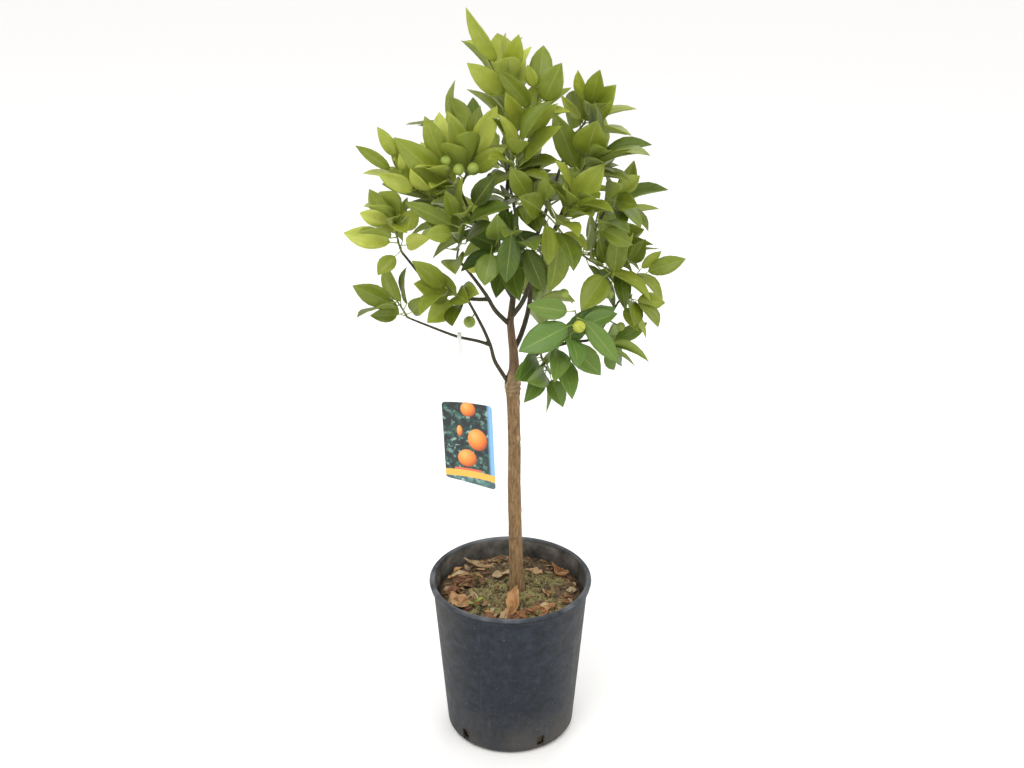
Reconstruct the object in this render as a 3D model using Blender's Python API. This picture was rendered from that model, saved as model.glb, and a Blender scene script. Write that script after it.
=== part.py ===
# A young mandarin tree growing in a plastic nursery pot.
# Metres, +Z up, front toward -Y. The origin is the middle of the pot's flat underside.
# Points of the tree are written in hundredths of its height, so (0, 0, 61) is 61 % of the way up.
# The topmost leaf stands one hundredth above that height.

import math
import random

import bmesh
import bpy
from mathutils import Vector
from mathutils.bvhtree import BVHTree

# The whole plant
TREE_HEIGHT = 1.00
UNIT = TREE_HEIGHT / 100
GAP = 0.0003  # left between two pieces that lie together
CLEARANCE = 0.0006  # left round each leaf, so that none touches another

# The pot, a thin moulded cup with a rolled rim and drain slots low in its wall
POT_HEIGHT = 0.233
RIM_RADIUS = 0.111
BASE_RADIUS = 0.088
POT_WALL = 0.0022
RIM_WIDTH = 0.0075
RIM_DEPTH = 0.0095
BASE_ROUNDING = 0.010
SLOT_COUNT = 5
SLOT_WIDTH = 0.0115
SLOT_FOOT = 0.005
SLOT_HEIGHT = 0.020
SLOT_TURN = math.radians(-62)
SLOT_REACH = 0.024  # how far each slot's cutter reaches along the radius
POT_SIDES = 48

# The root ball
SOIL_DROP = 0.025  # below the rim, at the pot's wall
SOIL_MOUND = 0.004

# Wood
TRUNK_RADIUS = 0.0098
TRUNK_FOOT = Vector((0.009, 0.0, 0.0))  # where the trunk leaves the soil, beside the pot's axis
TRUNK_FLARE = 0.0019  # how much wider the trunk is at the soil
KNOB_PLACE = 52  # the scarred knob under the first branches, in hundredths of the tree's height
KNOB_SWELL = 0.0016
LEADER_SHARE = 0.20  # what the leader's radius thins to, against the trunk's
STUB_DEPTH = 0.080  # how deep the trunk goes into the root ball
TRUNK_SIDES = 12
BRANCH_SIDES = 8
TWIG_SIDES = 3
TWIG_RADIUS = 0.0014

# Leaves
LEAF_LENGTH = 0.064  # the usual blade; the hand-placed ones follow it too
LEAF_BASIS = 0.064  # the length that the tips in the plan were chosen for
LEAF_THICKNESS = 0.0008
LEAF_FOLD = 0.22  # how far a blade's edges rise beside its midrib, against its half width
LEAF_ARCH = 0.07  # how far a blade's middle rises above its chord, against its length
STALK_LENGTH = 0.009
LEAF_SPACING = 0.0085
LEAF_CROWDING = 0.0042  # the least space between two leaves on a twig

# Fruits and label
FRUIT_RADIUS = 0.0075
LABEL_WIDTH = 0.064
LABEL_HEIGHT = 0.119
LABEL_THICKNESS = 0.0006
STRAP_WIDTH = 0.005

TURN = 2 * math.pi

# Each branch: its parent, its radius at the start and at the end, and its route.
BRANCHES = {
    "left_low": ("trunk", 0.0031, 0.0018,
                 ((0, 0, 51.5), (-1, -0.5, 54), (-2, -2, 56.5), (-2.5, -3, 59), (-3.5, -4, 62),
                  (-5.5, -5, 66.5))),
    "right_low": ("trunk", 0.0030, 0.0016,
                  ((0.5, 0, 53), (3, -3, 57.5), (5, -5, 59.5), (7.5, -5.5, 60.5), (10.5, -5, 61),
                   (13.5, -3, 65))),
    "right_back": ("trunk", 0.0038, 0.0018,
                   ((0.3, 0, 57), (1.5, 2.5, 58.5), (2.5, 4.3, 62), (3, 5, 69), (4.5, 5, 74),
                    (7.5, 3, 84.5))),
    "left_mid": ("trunk", 0.0034, 0.0018,
                 ((0, 0, 60.5), (-1, -0.7, 61.8), (-2, -2, 63.5), (-3, -3.5, 66), (-5, -5, 69.5),
                  (-6.5, -5.5, 71.5))),
    "right_up": ("trunk", 0.0036, 0.0018,
                 ((0.2, 0, 61.5), (1.5, -1, 64), (2.5, -2, 67), (4, -3, 71), (5.5, -4, 75), (8, -3, 81))),
    "left_up": ("trunk", 0.0029, 0.0017,
                ((0.3, 0.2, 64), (-0.5, -1, 66), (-1.5, -1, 68.5), (-3, -1.5, 72), (-5.5, -3, 78),
                 (-6, -3.5, 80))),
    "back": ("trunk", 0.0030, 0.0017,
             ((0.3, 0.6, 66), (1, 4, 68.5), (1, 8, 70), (0.5, 10, 73), (-0.5, 10, 78), (-1, 9, 82))),
    "left_reach": ("left_low", 0.0024, 0.0015,
                   ((-2.5, -3, 59), (-4, -4, 60), (-6.5, -5, 61), (-9, -5, 62), (-12.5, -5, 63.5))),
    "left_long": ("left_mid", 0.0028, 0.0017,
                  ((-2.7, -3.1, 65.2), (-4, -3.3, 65.3), (-5.5, -3.8, 65.7), (-8, -4.5, 67),
                   (-10.5, -4.5, 68.5),
                   (-13, -4, 71.5))),
    "right_mid": ("right_up", 0.0026, 0.0017,
                  ((2.8, -2.2, 68), (4.5, -0.3, 68.3), (6.5, 1.5, 68.5), (8.5, 2, 70), (10, 2, 71.5),
                   (12, 2, 75.5))),
}

# Each spray of leaves: its twig's route, the leaves placed by hand, and the number of leaves it has in all.
# A hand-placed leaf is (place along the twig, tip, width, roll in degrees away from facing the front).
SPRAYS = {
    "top_lead": (11, ((0, 0, 86.8), (0, -1, 89.5), (-0.5, -1.5, 92), (-1, -2, 94.5)),
                 ((1.0, (-5, -4, 101), 2.1, 20), (0.95, (-0.5, -3, 98), 1.2, 60), (0.85, (1, -4, 98), 2.4, 0),
                  (0.7, (2.5, -1, 96), 1.2, 20), (0.4, (-5, -3, 94.5), 2.6, 0))),
    "top_mid": (11, ((0, 0, 84), (2, -2, 86.5), (3, -2.5, 89), (3.5, -2.5, 91.5)),
                ((1.0, (2, -4, 94.5), 1.5, 10), (0.8, (6, -3, 94.5), 3.2, 0), (0.7, (-1.5, -6, 94.5), 2.2, 0),
                 (0.35, (-0.5, -7, 92), 2.4, 0), (0.3, (5.5, -6, 90.5), 2.4, 0))),
    "top_right": (10, ((7.4, 3, 84), (9, 1, 86.5), (9, -1, 89)),
                  ((1.0, (8, 0, 93), 1.6, 30), (0.95, (10.5, -2, 93.5), 2.4, 0), (0.35, (12.5, -1, 91.5),
                   3.4, 0),
                   (0.6, (5.5, -4, 91.5), 1.6, 30))),
    "top_back": (10, ((0, 0, 85.5), (-0.5, 3, 88), (-1.5, 5, 92)), ()),
    "high_front": (12, ((0, 0, 81), (0.5, -4, 82), (1, -7, 83.5), (0.5, -7.5, 86)), ((0.75, (1.5, -10, 87),
                        3.0, 0),)),
    "upper_left": (11, ((-6, -3.5, 79.5), (-5, -4, 82), (-4, -4, 84.5)),
                   ((0.95, (-1.5, -5, 90), 2.8, 0), (1.0, (-3.5, -3, 89.5), 2.0, 20), (0.8, (-7, -4, 88.5),
                    2.6, 0),
                    (0.4, (-0.5, -7, 85.5), 2.4, 0))),
    "upper_left_out": (10, ((-5.4, -3, 77.8), (-7, -4.5, 80.5), (-7.5, -5, 83)),
                       ((1.0, (-10, -4, 88.5), 2.4, 0), (0.85, (-8.5, -5, 88), 1.6, 0),
                        (0.4, (-13.5, -6, 86.5), 3.4, 0))),
    "far_left": (11, ((-4.5, -2.5, 76), (-8, -4, 78), (-11, -5, 80), (-13, -5, 82), (-14, -5, 84)),
                 ((0.9, (-18, -6, 85.5), 1.6, 0), (1.0, (-15.5, -5, 87.5), 1.6, 0), (0.8, (-13, -6.5, 85),
                  1.0, 0),
                  (0.6, (-15.5, -7, 82.5), 2.2, 0), (0.45, (-12, -7, 83.5), 2.4, 0))),
    "upper_right": (11, ((8, -3, 80.6), (9, -5, 83), (10.5, -6, 85)),
                    ((0.2, (5, -6, 89.5), 3.0, 0), (0.6, (10, -8, 89), 4.0, 0))),
    "upper_front": (13, ((5.3, -3.8, 74), (6, -6, 76), (7, -8, 78.5), (8, -9, 80.5)),
                    ((0.5, (11, -8, 84), 3.6, 0), (0.2, (4, -7, 83), 2.4, 80))),
    "right_high": (13, ((12, 2, 75), (12.5, -1, 77), (12, -4, 78.5), (10.5, -6, 77.5), (10, -7, 75)),
                   ((0.5, (15.5, -3, 81), 2.2, 0), (0.6, (15, -7, 78.5), 2.6, 0), (0.95, (14.5, -8, 74),
                    2.4, 0))),
    "upper_back_left": (11, ((-0.5, 10, 78), (-4, 12, 80), (-8, 13, 83)), ()),
    "upper_back_right": (11, ((4.6, 5, 74.5), (8, 8, 76), (11, 11, 79)), ()),
    "mid_left": (13, ((-6.5, -5.5, 71), (-6, -7, 74.5), (-5.5, -8, 77.5), (-4.8, -8.5, 79)),
                 ((0.95, (-1.5, -9, 83), 2.6, 0), (0.85, (-5.5, -8.5, 82.5), 1.4, 50),
                  (0.75, (-7.5, -9, 81), 2.0, 0), (0.5, (-10, -9, 75.5), 2.2, 0), (0.6, (-12.5, -7, 79),
                  2.0, 0))),
    "left_cluster": (13, ((-13, -4, 71.2), (-13.5, -5, 73.5), (-13.5, -5.5, 75.5), (-12.5, -6, 77)),
                     ((0.3, (-20, -5, 74.5), 2.8, 0), (0.1, (-16, -6, 69.5), 2.2, 0), (0.7, (-18, -5, 77),
                      2.0, 20),
                      (0.5, (-11, -5, 77.5), 2.2, 0), (0.2, (-9.5, -7, 74.5), 2.2, 0))),
    "low_left": (10, ((-12.5, -5, 63.2), (-13, -6, 64.8), (-14, -6, 66.5)),
                 ((1.0, (-19, -7, 68.5), 2.8, 0), (0.3, (-17.5, -8, 65), 2.2, 0), (0.5, (-12.5, -6, 70.5),
                  2.4, 80),
                  (0.2, (-10, -8, 67.5), 2.2, 0))),
    "low_left_front": (8, ((-5.2, -4.8, 66), (-6.5, -6.5, 67), (-7.5, -8, 68.5)),
                       ((0.4, (-11.5, -9, 69.5), 3.4, 0), (0.3, (-10, -9, 64.5), 3.0, 0))),
    "mid_front": (14, ((-0.3, 0, 76.5), (1, -4, 78.5), (2.5, -8, 79), (4.5, -9.5, 78), (6.5, -9.5, 75.5)),
                  ((0.75, (1, -13, 81.5), 3.2, 0), (0.6, (0, -9.5, 84), 2.6, 0))),
    "front_low": (11, ((0, 0.8, 70), (-0.5, -4, 72), (-1.5, -7, 73.5), (-2.5, -9, 74.5)),
                  ((0.9, (-1.5, -11.5, 79), 2.8, 0), (0.95, (-3, -11, 70), 3.0, 0),
                   (0.5, (-3.5, -6, 69.5), 1.8, 30))),
    "centre": (12, ((4, -3, 71), (3, -6, 73), (1.5, -9, 75), (0.5, -9.5, 77)),
               ((1.0, (-0.5, -11.5, 70.5), 2.8, 0), (0.75, (4, -10.5, 69), 2.8, 0), (0.85, (4.5, -11, 80),
                2.6, 0))),
    "mid_right": (11, ((8.3, 2, 69.8), (10.5, -2, 69.5), (12, -4, 69.5), (12.5, -5.2, 68.5)),
                  ((0.9, (8.5, -9, 66), 3.4, 0), (1.0, (13, -6, 75.5), 2.6, 0), (0.8, (10.5, -6, 74),
                   2.0, 0))),
    "right_out": (11, ((9.8, 2, 71.3), (13, 0, 70), (15, -2, 68.5), (16.5, -3, 68)),
                  ((0.85, (16.5, -3, 73), 2.4, 0), (0.95, (19, -2, 71.5), 1.6, 0), (1.0, (21.5, -3, 70.5),
                   2.2, 0),
                   (0.9, (20.5, -5, 67.5), 2.0, 0), (0.75, (14, -6, 65), 2.2, 0))),
    "right_tip_low": (10, ((13.4, -3, 64.6), (14.5, -4, 65.5), (15, -5, 66.8)),
                      ((0.5, (19, -5, 65.5), 2.2, 0), (0.3, (15.5, -8, 63), 2.0, 0))),
    "low_right_side": (9, ((10.3, -5, 61), (11.5, -4.8, 59.6), (13, -4, 59.5)),
                       ((1.0, (17, -4, 62.5), 2.0, 0), (0.5, (13, -5, 56.5), 1.4, 0))),
    "low_right_front": (11, ((5, -5, 59.3), (6, -7, 61), (7, -9, 63), (8, -10, 65), (7.5, -9, 67)),
                        ((0.75, (1, -12, 62), 3.6, 0), (0.9, (13, -12, 60.5), 2.4, 0),
                         (1.0, (2, -11, 67.5), 2.8, 0),
                         (0.35, (11, -10, 58), 3.2, 0))),
    "low_hang": (7, ((3.8, -4, 58.2), (4.3, -6, 57.5), (5, -7.5, 57)),
                 ((0.6, (4.5, -8, 52), 2.2, 75), (0.9, (6.5, -9.5, 53.5), 2.4, 0), (0.3, (0.5, -8, 56.5),
                  2.2, 0))),
    "mid_back": (11, ((0.5, 10, 73), (1, 13, 73.5), (2, 16, 75.5)), ()),
    "mid_back_left": (10, ((1, 8, 70), (-4, 9.5, 70), (-9, 9.5, 72)), ()),
    "mid_back_right": (11, ((8.5, 2, 70), (10.5, 6, 70), (13, 10, 71.5)), ()),
    "low_back": (9, ((2.3, 4, 61), (3, 8, 61.5), (3.5, 12, 63)), ()),
}

# Each fruit: where it hangs, and its size against the usual fruit.
FRUITS = {
    "cluster_left": ((-7.5, -7, 84), 0.78),
    "cluster_middle": ((-6, -7.2, 83), 0.92),
    "cluster_right": ((-4.3, -7, 83), 1.0),
    "yellow_green": ((-4.4, -7.2, 71), 1.05),
    "left_hanging": ((-5, -5.8, 63.3), 1.0),
    "yellow": ((8.2, -11.5, 65), 1.0),
    "right_small": ((6.4, -9.2, 68.3), 0.85),
    "right_upper": ((12, -6.5, 67.2), 0.8),
    "right_lower": ((13.6, -5.6, 62.6), 0.75),
}

# Each fallen leaf: place on the soil in metres, heading in degrees, length, width, curl, fold and lean.
FALLEN = {
    "folded": ((0.005, -0.048), 72, 0.046, 0.022, 0.08, 0.9, 38),
    "front": ((0.041, -0.057), 20, 0.042, 0.018, 0.25, 0.3, 0),
    "left_front": ((-0.069, -0.034), 125, 0.036, 0.024, 0.20, 0.35, 10),
    "left": ((-0.060, 0.014), 15, 0.037, 0.022, 0.30, 0.5, 8),
    "back_left": ((-0.042, 0.060), -22, 0.047, 0.014, 0.20, 0.3, 5),
    "back_right": ((0.069, 0.042), 130, 0.034, 0.020, 0.35, 0.4, 5),
}


# Shapes


def finish(mesh, name, color, roughness):
    """Turns a bmesh into a named object with its own material."""
    bmesh.ops.recalc_face_normals(mesh, faces=mesh.faces)
    data = bpy.data.meshes.new(name)
    mesh.to_mesh(data)
    mesh.free()
    data.shade_smooth()
    data.set_sharp_from_angle(angle=math.radians(40))
    piece = bpy.data.objects.new(name, data)
    bpy.context.scene.collection.objects.link(piece)
    material = bpy.data.materials.new(name)
    material.use_nodes = True
    surface = material.node_tree.nodes["Principled BSDF"]
    surface.inputs["Base Color"].default_value = (*color, 1)
    surface.inputs["Roughness"].default_value = roughness
    data.materials.append(material)
    return piece


def cut(piece, cutter):
    """Takes the cutter's shape away from the piece, and keeps the cutter out of the model."""
    cutter.hide_render = True
    cutter.display_type = "WIRE"
    hole = piece.modifiers.new("cut " + cutter.name, "BOOLEAN")
    hole.operation = "DIFFERENCE"
    hole.solver = "EXACT"
    hole.object = cutter


def lathe(profile, sides):
    """A solid turned about Z from a profile: bottom centre first, then the outside, then the top centre."""
    mesh = bmesh.new()
    rings = []
    for radius, height in profile:
        if radius == 0:
            rings.append([mesh.verts.new((0, 0, height))])
        else:
            angles = [TURN * k / sides for k in range(sides)]
            rings.append([mesh.verts.new((radius * math.cos(a), radius * math.sin(a), height))
                          for a in angles])
    for low, high in zip(rings, rings[1:]):
        for k in range(sides):
            after = k + 1
            corners = [low[k % len(low)], low[after % len(low)], high[after % len(high)], high[k % len(high)]]
            mesh.faces.new(list(dict.fromkeys(corners)))
    return mesh


def smooth_route(points, steps):
    """A curve through the points, with this many straight pieces between each two."""
    points = [Vector(point) for point in points]
    ends = [2 * points[0] - points[1], *points, 2 * points[-1] - points[-2]]
    route = []
    for before, start, end, after in zip(ends, ends[1:], ends[2:], ends[3:]):
        for step in range(steps):
            t = step / steps
            route.append(0.5 * (2 * start + (end - before) * t
                                + (2 * before - 5 * start + 4 * end - after) * t ** 2
                                + (3 * start - before - 3 * end + after) * t ** 3))
    return [*route, points[-1]]


def lengths(route):
    """How far each point of a route is along it."""
    total = [0.0]
    for start, end in zip(route, route[1:]):
        total.append(total[-1] + (end - start).length)
    return total


def point_along(route, distance):
    """The point of a route at this distance, and the route's direction there."""
    total = lengths(route)
    distance = min(max(distance, 0.0), total[-1])
    k = next(k for k in range(1, len(total)) if total[k] >= distance - 1e-9)
    step = route[k] - route[k - 1]
    return route[k - 1] + step * ((distance - total[k - 1]) / step.length), step.normalized()


def tube(route, radii, sides):
    """A round bar along a route, with a radius at each of its points and flat ends."""
    mesh = bmesh.new()
    side = None
    rings = []
    for k, (point, radius) in enumerate(zip(route, radii)):
        heading = (route[min(k + 1, len(route) - 1)] - route[max(k - 1, 0)]).normalized()
        side = heading.orthogonal() if side is None else side - heading * side.dot(heading)
        side.normalize()
        up = heading.cross(side)
        angles = [TURN * n / sides for n in range(sides)]
        rings.append([mesh.verts.new(point + radius * (side * math.cos(a) + up * math.sin(a)))
                      for a in angles])
    mesh.faces.new(reversed(rings[0]))
    for low, high in zip(rings, rings[1:]):
        for n in range(sides):
            mesh.faces.new((low[n], low[(n + 1) % sides], high[(n + 1) % sides], high[n]))
    mesh.faces.new(rings[-1])
    return mesh


def tree_of(mesh):
    """The search tree of a bmesh, which tells where it meets another."""
    bmesh.ops.triangulate(mesh, faces=mesh.faces)
    return BVHTree.FromBMesh(mesh)


# The pot and the soil


def wall_radius(height):
    """Radius of the pot's outer wall at a height."""
    return BASE_RADIUS + (RIM_RADIUS - RIM_WIDTH + POT_WALL - BASE_RADIUS) * height / POT_HEIGHT


def build_pot():
    lip = RIM_RADIUS - RIM_WIDTH
    under_rim = POT_HEIGHT - RIM_DEPTH
    rounding = wall_radius(BASE_ROUNDING) - BASE_ROUNDING
    turns = [math.radians(angle) for angle in (0, 30, 60, 90)]
    corner = [(rounding + BASE_ROUNDING * math.sin(a), BASE_ROUNDING * (1 - math.cos(a))) for a in turns]
    bead = [(RIM_RADIUS - 0.002, under_rim), (RIM_RADIUS - 0.0004, under_rim + 0.0015),
            (RIM_RADIUS, POT_HEIGHT - 0.0045), (RIM_RADIUS - 0.0007, POT_HEIGHT - 0.0016),
            (RIM_RADIUS - 0.0028, POT_HEIGHT), (lip + 0.0015, POT_HEIGHT), (lip, POT_HEIGHT - 0.0018)]
    inside = [(wall_radius(BASE_ROUNDING) - POT_WALL, BASE_ROUNDING), (corner[0][0], POT_WALL), (0, POT_WALL)]
    pot = finish(lathe([(0, 0), *corner, (wall_radius(under_rim), under_rim), *bead, *inside], POT_SIDES),
                 "pot", (0.045, 0.055, 0.065), 0.5)
    slot_middle = BASE_RADIUS - 0.004
    for k in range(SLOT_COUNT):
        turn = SLOT_TURN + TURN * k / SLOT_COUNT
        box = bmesh.new()
        bmesh.ops.create_cube(box, size=1)
        bmesh.ops.scale(box, vec=(SLOT_REACH, SLOT_WIDTH, SLOT_HEIGHT), verts=box.verts)
        cutter = finish(box, f"slot_{k + 1}", (0, 0, 0), 0.5)
        cutter.location = Vector((slot_middle * math.cos(turn), slot_middle * math.sin(turn),
                                  SLOT_FOOT + SLOT_HEIGHT / 2))
        cutter.rotation_euler.z = turn
        cut(pot, cutter)


def soil_height(x, y):
    """Height of the soil's surface: a low mound with an uneven top."""
    edge = min(math.hypot(x, y) / (RIM_RADIUS - RIM_WIDTH), 1)
    unevenness = 0.0012 * math.sin(95 * x + 1) * math.cos(80 * y) + 0.0008 * math.sin(170 * y + 60 * x)
    return POT_HEIGHT - SOIL_DROP + SOIL_MOUND * (1 - edge ** 2) + unevenness * (1 - edge ** 4)


def build_soil(trunk_stub):
    edge_height = POT_HEIGHT - SOIL_DROP
    floor = POT_WALL + GAP
    inner = [(wall_radius(BASE_ROUNDING) - POT_WALL - BASE_ROUNDING + 0.001, floor),
             (wall_radius(BASE_ROUNDING) - POT_WALL - 0.0006, BASE_ROUNDING + 0.001)]
    edge = wall_radius(edge_height) - POT_WALL - 0.0008
    rings = [(edge, edge_height)]
    rings += [(edge * share, edge_height) for share in (0.9, 0.75, 0.58, 0.42, 0.28, 0.14)]
    mesh = lathe([(0, floor), *inner, *rings, (0, edge_height)], 36)
    for vert in mesh.verts:
        if vert.co.z > edge_height - 0.001:
            vert.co.z = soil_height(vert.co.x, vert.co.y)
    soil = finish(mesh, "soil", (0.16, 0.13, 0.06), 0.95)
    cut(soil, trunk_stub)
    return soil


# Wood


def wood_radii(route, start, end):
    total = lengths(route)
    return [start + (end - start) * (distance / total[-1]) for distance in total]


def trunk_route():
    """The trunk and its leader, from the end of the buried stub to the top."""
    foot = TRUNK_FOOT + Vector((0, 0, soil_height(TRUNK_FOOT.x, TRUNK_FOOT.y)))
    upper = [(0.7, 0, 29), (0.5, 0, 38), (0.55, 0, 43), (0.35, 0, 50.3), (0.35, 0, 52), (0.5, 0, 54.3),
             (0.4, 0, 57), (0, 0, 61), (0.4, 0.6, 64.5), (0, 1, 68), (0, 0.5, 72), (-0.5, 0, 77), (0, 0, 82),
             (0, 0, 87)]
    upper = [Vector(point) * UNIT for point in upper if point[2] * UNIT > foot.z + 0.03]
    return smooth_route([foot - Vector((0, 0, STUB_DEPTH)), foot, *upper], 2), foot


def trunk_radius(height, foot):
    """Flares at the soil, swells at the knob under the first branches, and thins to a twig at the top."""
    rise = height / UNIT
    flare = TRUNK_FLARE * math.exp(-abs(height - foot.z) / 0.012)
    knob = KNOB_SWELL * math.exp(-((rise - KNOB_PLACE) / 1.6) ** 2)
    at_knob = 0.82
    if rise < KNOB_PLACE:
        body = TRUNK_RADIUS * (1 - (1 - at_knob) * max(rise - 20, 0) / (KNOB_PLACE - 20))
    else:
        body = TRUNK_RADIUS * (LEADER_SHARE + (at_knob - LEADER_SHARE) * math.exp((KNOB_PLACE - rise) / 11))
    return body + flare + knob


def nearest_on(route, point):
    """The place on a route that is nearest to a point."""
    places = []
    for low, high in zip(route, route[1:]):
        share = (point - low).dot(high - low) / (high - low).length_squared
        places.append(low + (high - low) * max(0, min(1, share)))
    return min(places, key=lambda place: (place - point).length)


def build_wood():
    """The trunk and the branches, each cut back to lie against its parent."""
    route, foot = trunk_route()
    radii = [trunk_radius(point.z, foot) for point in route]
    routes = {"trunk": (route, radii, TRUNK_SIDES)}
    for name, (parent, start, end, points) in BRANCHES.items():
        points = [Vector(point) * UNIT for point in points]
        path = smooth_route([nearest_on(routes[parent][0], points[0]), *points[1:]], 3)
        routes[name] = (path, wood_radii(path, start, end), BRANCH_SIDES)
    sleeves = {}
    pieces = {}
    for name, (path, sizes, sides) in routes.items():
        node = name if name == "trunk" else "branch_" + name
        pieces[name] = finish(tube(path, sizes, sides), node, (0.21, 0.14, 0.08), 0.85)
        if name == "trunk" or any(name == parent for parent, *_ in BRANCHES.values()):
            longer = [path[0] - (path[1] - path[0]).normalized() * GAP, *path[1:]]
            sleeves[name] = finish(tube(longer, [size + 2 * GAP for size in sizes], sides), name + "_sleeve",
                                   (0, 0, 0), 0.5)
            sleeves[name].hide_render = True
            sleeves[name].display_type = "WIRE"
    for name, (parent, *_) in BRANCHES.items():
        cut(pieces[name], sleeves[parent])
    return routes, sleeves["trunk"]


# Leaves


def leaf_frame(base, tip, facing, roll):
    """Directions along, across and out of a blade whose upper side faces the given way."""
    along = (tip - base).normalized()
    out = facing - along * facing.dot(along)
    out = out.normalized() if out.length > 1e-4 else along.orthogonal().normalized()
    across = out.cross(along)
    turned = across * math.cos(roll) - out * math.sin(roll)
    return along, turned, out * math.cos(roll) + across * math.sin(roll)


def leaf_width(t):
    """Half width of a blade at a share of its length, against the widest."""
    return math.sin(math.pi * min(t, 1) ** 0.9) ** 0.8


def blade_rings(base, tip, width, frame, shares, margin):
    """Cross-sections of a folded, arching blade, each as its right edge, ridge, left edge and underside."""
    along, across, out = frame
    length = (tip - base).length
    rings = []
    for t in shares:
        half = max(0.5 * width * leaf_width(t), 0.0007)
        middle = base + along * length * t + out * LEAF_ARCH * length * 4 * t * (1 - t)
        rise = out * half * LEAF_FOLD
        thick = out * (LEAF_THICKNESS / 2 + margin)
        reach = across * (half + margin)
        rings.append([middle + reach + rise, middle + thick, middle - reach + rise, middle - thick])
    return rings


def add_leaf(mesh, corners, rings, tip):
    """Grows a blade out of the opening between four corners of a twig."""
    middle = sum((corner.co for corner in corners), Vector()) / 4
    centre = sum(rings[0], Vector()) / 4
    turn = max(range(4), key=lambda n: sum((corners[k].co - middle).normalized().dot(
        (rings[0][(k + n) % 4] - centre).normalized()) for k in range(4)))
    last = corners
    for ring in rings:
        fresh = [mesh.verts.new(ring[(k + turn) % 4]) for k in range(4)]
        for k in range(4):
            mesh.faces.new((last[k], last[(k + 1) % 4], fresh[(k + 1) % 4], fresh[k]))
        last = fresh
    end = mesh.verts.new(tip)
    for k in range(4):
        mesh.faces.new((last[k], last[(k + 1) % 4], end))


def trial_blade(stem, base, tip, width, frame, margin):
    """A leaf a little larger all round, as a search tree with the middle and the reach of the leaf."""
    mesh = bmesh.new()
    rings = blade_rings(base, tip + frame[0] * margin, width, frame, (0.0, 0.15, 0.35, 0.6, 0.85), margin)
    start = stem + (base - stem) * 0.28
    first = mesh.verts.new(start)
    last = None
    for ring in rings:
        fresh = [mesh.verts.new(point) for point in ring]
        for k in range(4):
            if last is None:
                mesh.faces.new((first, fresh[(k + 1) % 4], fresh[k]))
            else:
                mesh.faces.new((last[k], last[(k + 1) % 4], fresh[(k + 1) % 4], fresh[k]))
        last = fresh
    end = mesh.verts.new(tip + frame[0] * margin)
    for k in range(4):
        mesh.faces.new((last[k], last[(k + 1) % 4], end))
    tree = tree_of(mesh)
    mesh.free()
    return tree, (start + tip) / 2, (tip - start).length / 2 + width / 2 + margin


class Room:
    """What has been placed so far, so that the next piece keeps clear of it."""

    def __init__(self):
        self.trees = []

    def add(self, tree, middle, reach):
        self.trees.append((tree, middle, reach))

    def add_mesh(self, mesh):
        points = [vert.co for vert in mesh.verts]
        middle = sum(points, Vector()) / len(points)
        self.add(tree_of(mesh), middle, max((point - middle).length for point in points))

    def free(self, tree, middle, reach):
        return not any((middle - other).length < reach + span and tree.overlap(taken)
                       for taken, other, span in self.trees)


def stand_off(route, radius, wood):
    """The route from where a twig of this radius clears the wood that it grows from."""
    total = lengths(route)[-1]
    start = total / 2
    step = 0.0004
    while start > step and wood.find_nearest(point_along(route, start - step)[0])[3] > radius + GAP:
        start -= step
    return start, total


def twig_places(hand, count, start, end):
    """Distances along a twig for its leaves: the hand-placed ones first, then the rest in the space left."""
    first = start + 0.004
    last = end - 0.003
    spacing = max(min(LEAF_SPACING, (last - first) / max(count - 1, 1)), LEAF_CROWDING)
    slots = [first + spacing * n for n in range(int((last - first) / spacing + 1.001))]
    taken = {}
    for n, (share, *_) in sorted(enumerate(hand), key=lambda item: -item[1][0]):
        wish = start + (end - start) * share
        free = [k for k in range(len(slots)) if k not in taken]
        if free:
            taken[min(free, key=lambda k: abs(slots[k] - wish))] = n
    return slots, taken


def plan_spray(name, plan, wood):
    """The twig of a spray as rings of four points, two rings for each leaf, and the leaves' places on it."""
    count, points, hand = plan
    route = smooth_route([Vector(point) * UNIT for point in points], 5)
    start, end = stand_off(route, TWIG_RADIUS, wood)
    slots, taken = twig_places(hand, count, start, end)
    stops = [start]
    for slot in slots:
        stops += [slot - 0.0014, slot + 0.0014]
    stops.append(end)
    side = None
    rings = []
    for distance in stops:
        point, heading = point_along(route, distance)
        side = heading.orthogonal() if side is None else side - heading * side.dot(heading)
        side.normalize()
        up = heading.cross(side)
        radius = TWIG_RADIUS * (1 - 0.4 * (distance - start) / (end - start))
        angles = [TURN * n / TWIG_SIDES for n in range(TWIG_SIDES)]
        rings.append([point + radius * (side * math.cos(a) + up * math.sin(a)) for a in angles])
    return {"name": name, "route": route, "slots": slots, "taken": taken, "rings": rings, "hand": hand,
            "count": count, "leaves": {}}


def twig_mesh(spray):
    mesh = bmesh.new()
    rings = [[mesh.verts.new(point) for point in ring] for ring in spray["rings"]]
    mesh.faces.new(reversed(rings[0]))
    for k, (low, high) in enumerate(zip(rings, rings[1:])):
        slot, inside = divmod(k - 1, 2)
        open_side = spray["leaves"][slot][0] if inside == 0 and slot in spray["leaves"] else None
        for n in range(TWIG_SIDES):
            corners = (low[n], low[(n + 1) % TWIG_SIDES], high[(n + 1) % TWIG_SIDES], high[n])
            if n == open_side:
                _, base, tip, width, frame = spray["leaves"][slot]
                add_leaf(mesh, corners, blade_rings(base, tip, width, frame, (0.0, 0.33, 0.68), 0), tip)
            else:
                mesh.faces.new(corners)
    mesh.faces.new(rings[-1])
    return mesh


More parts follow.
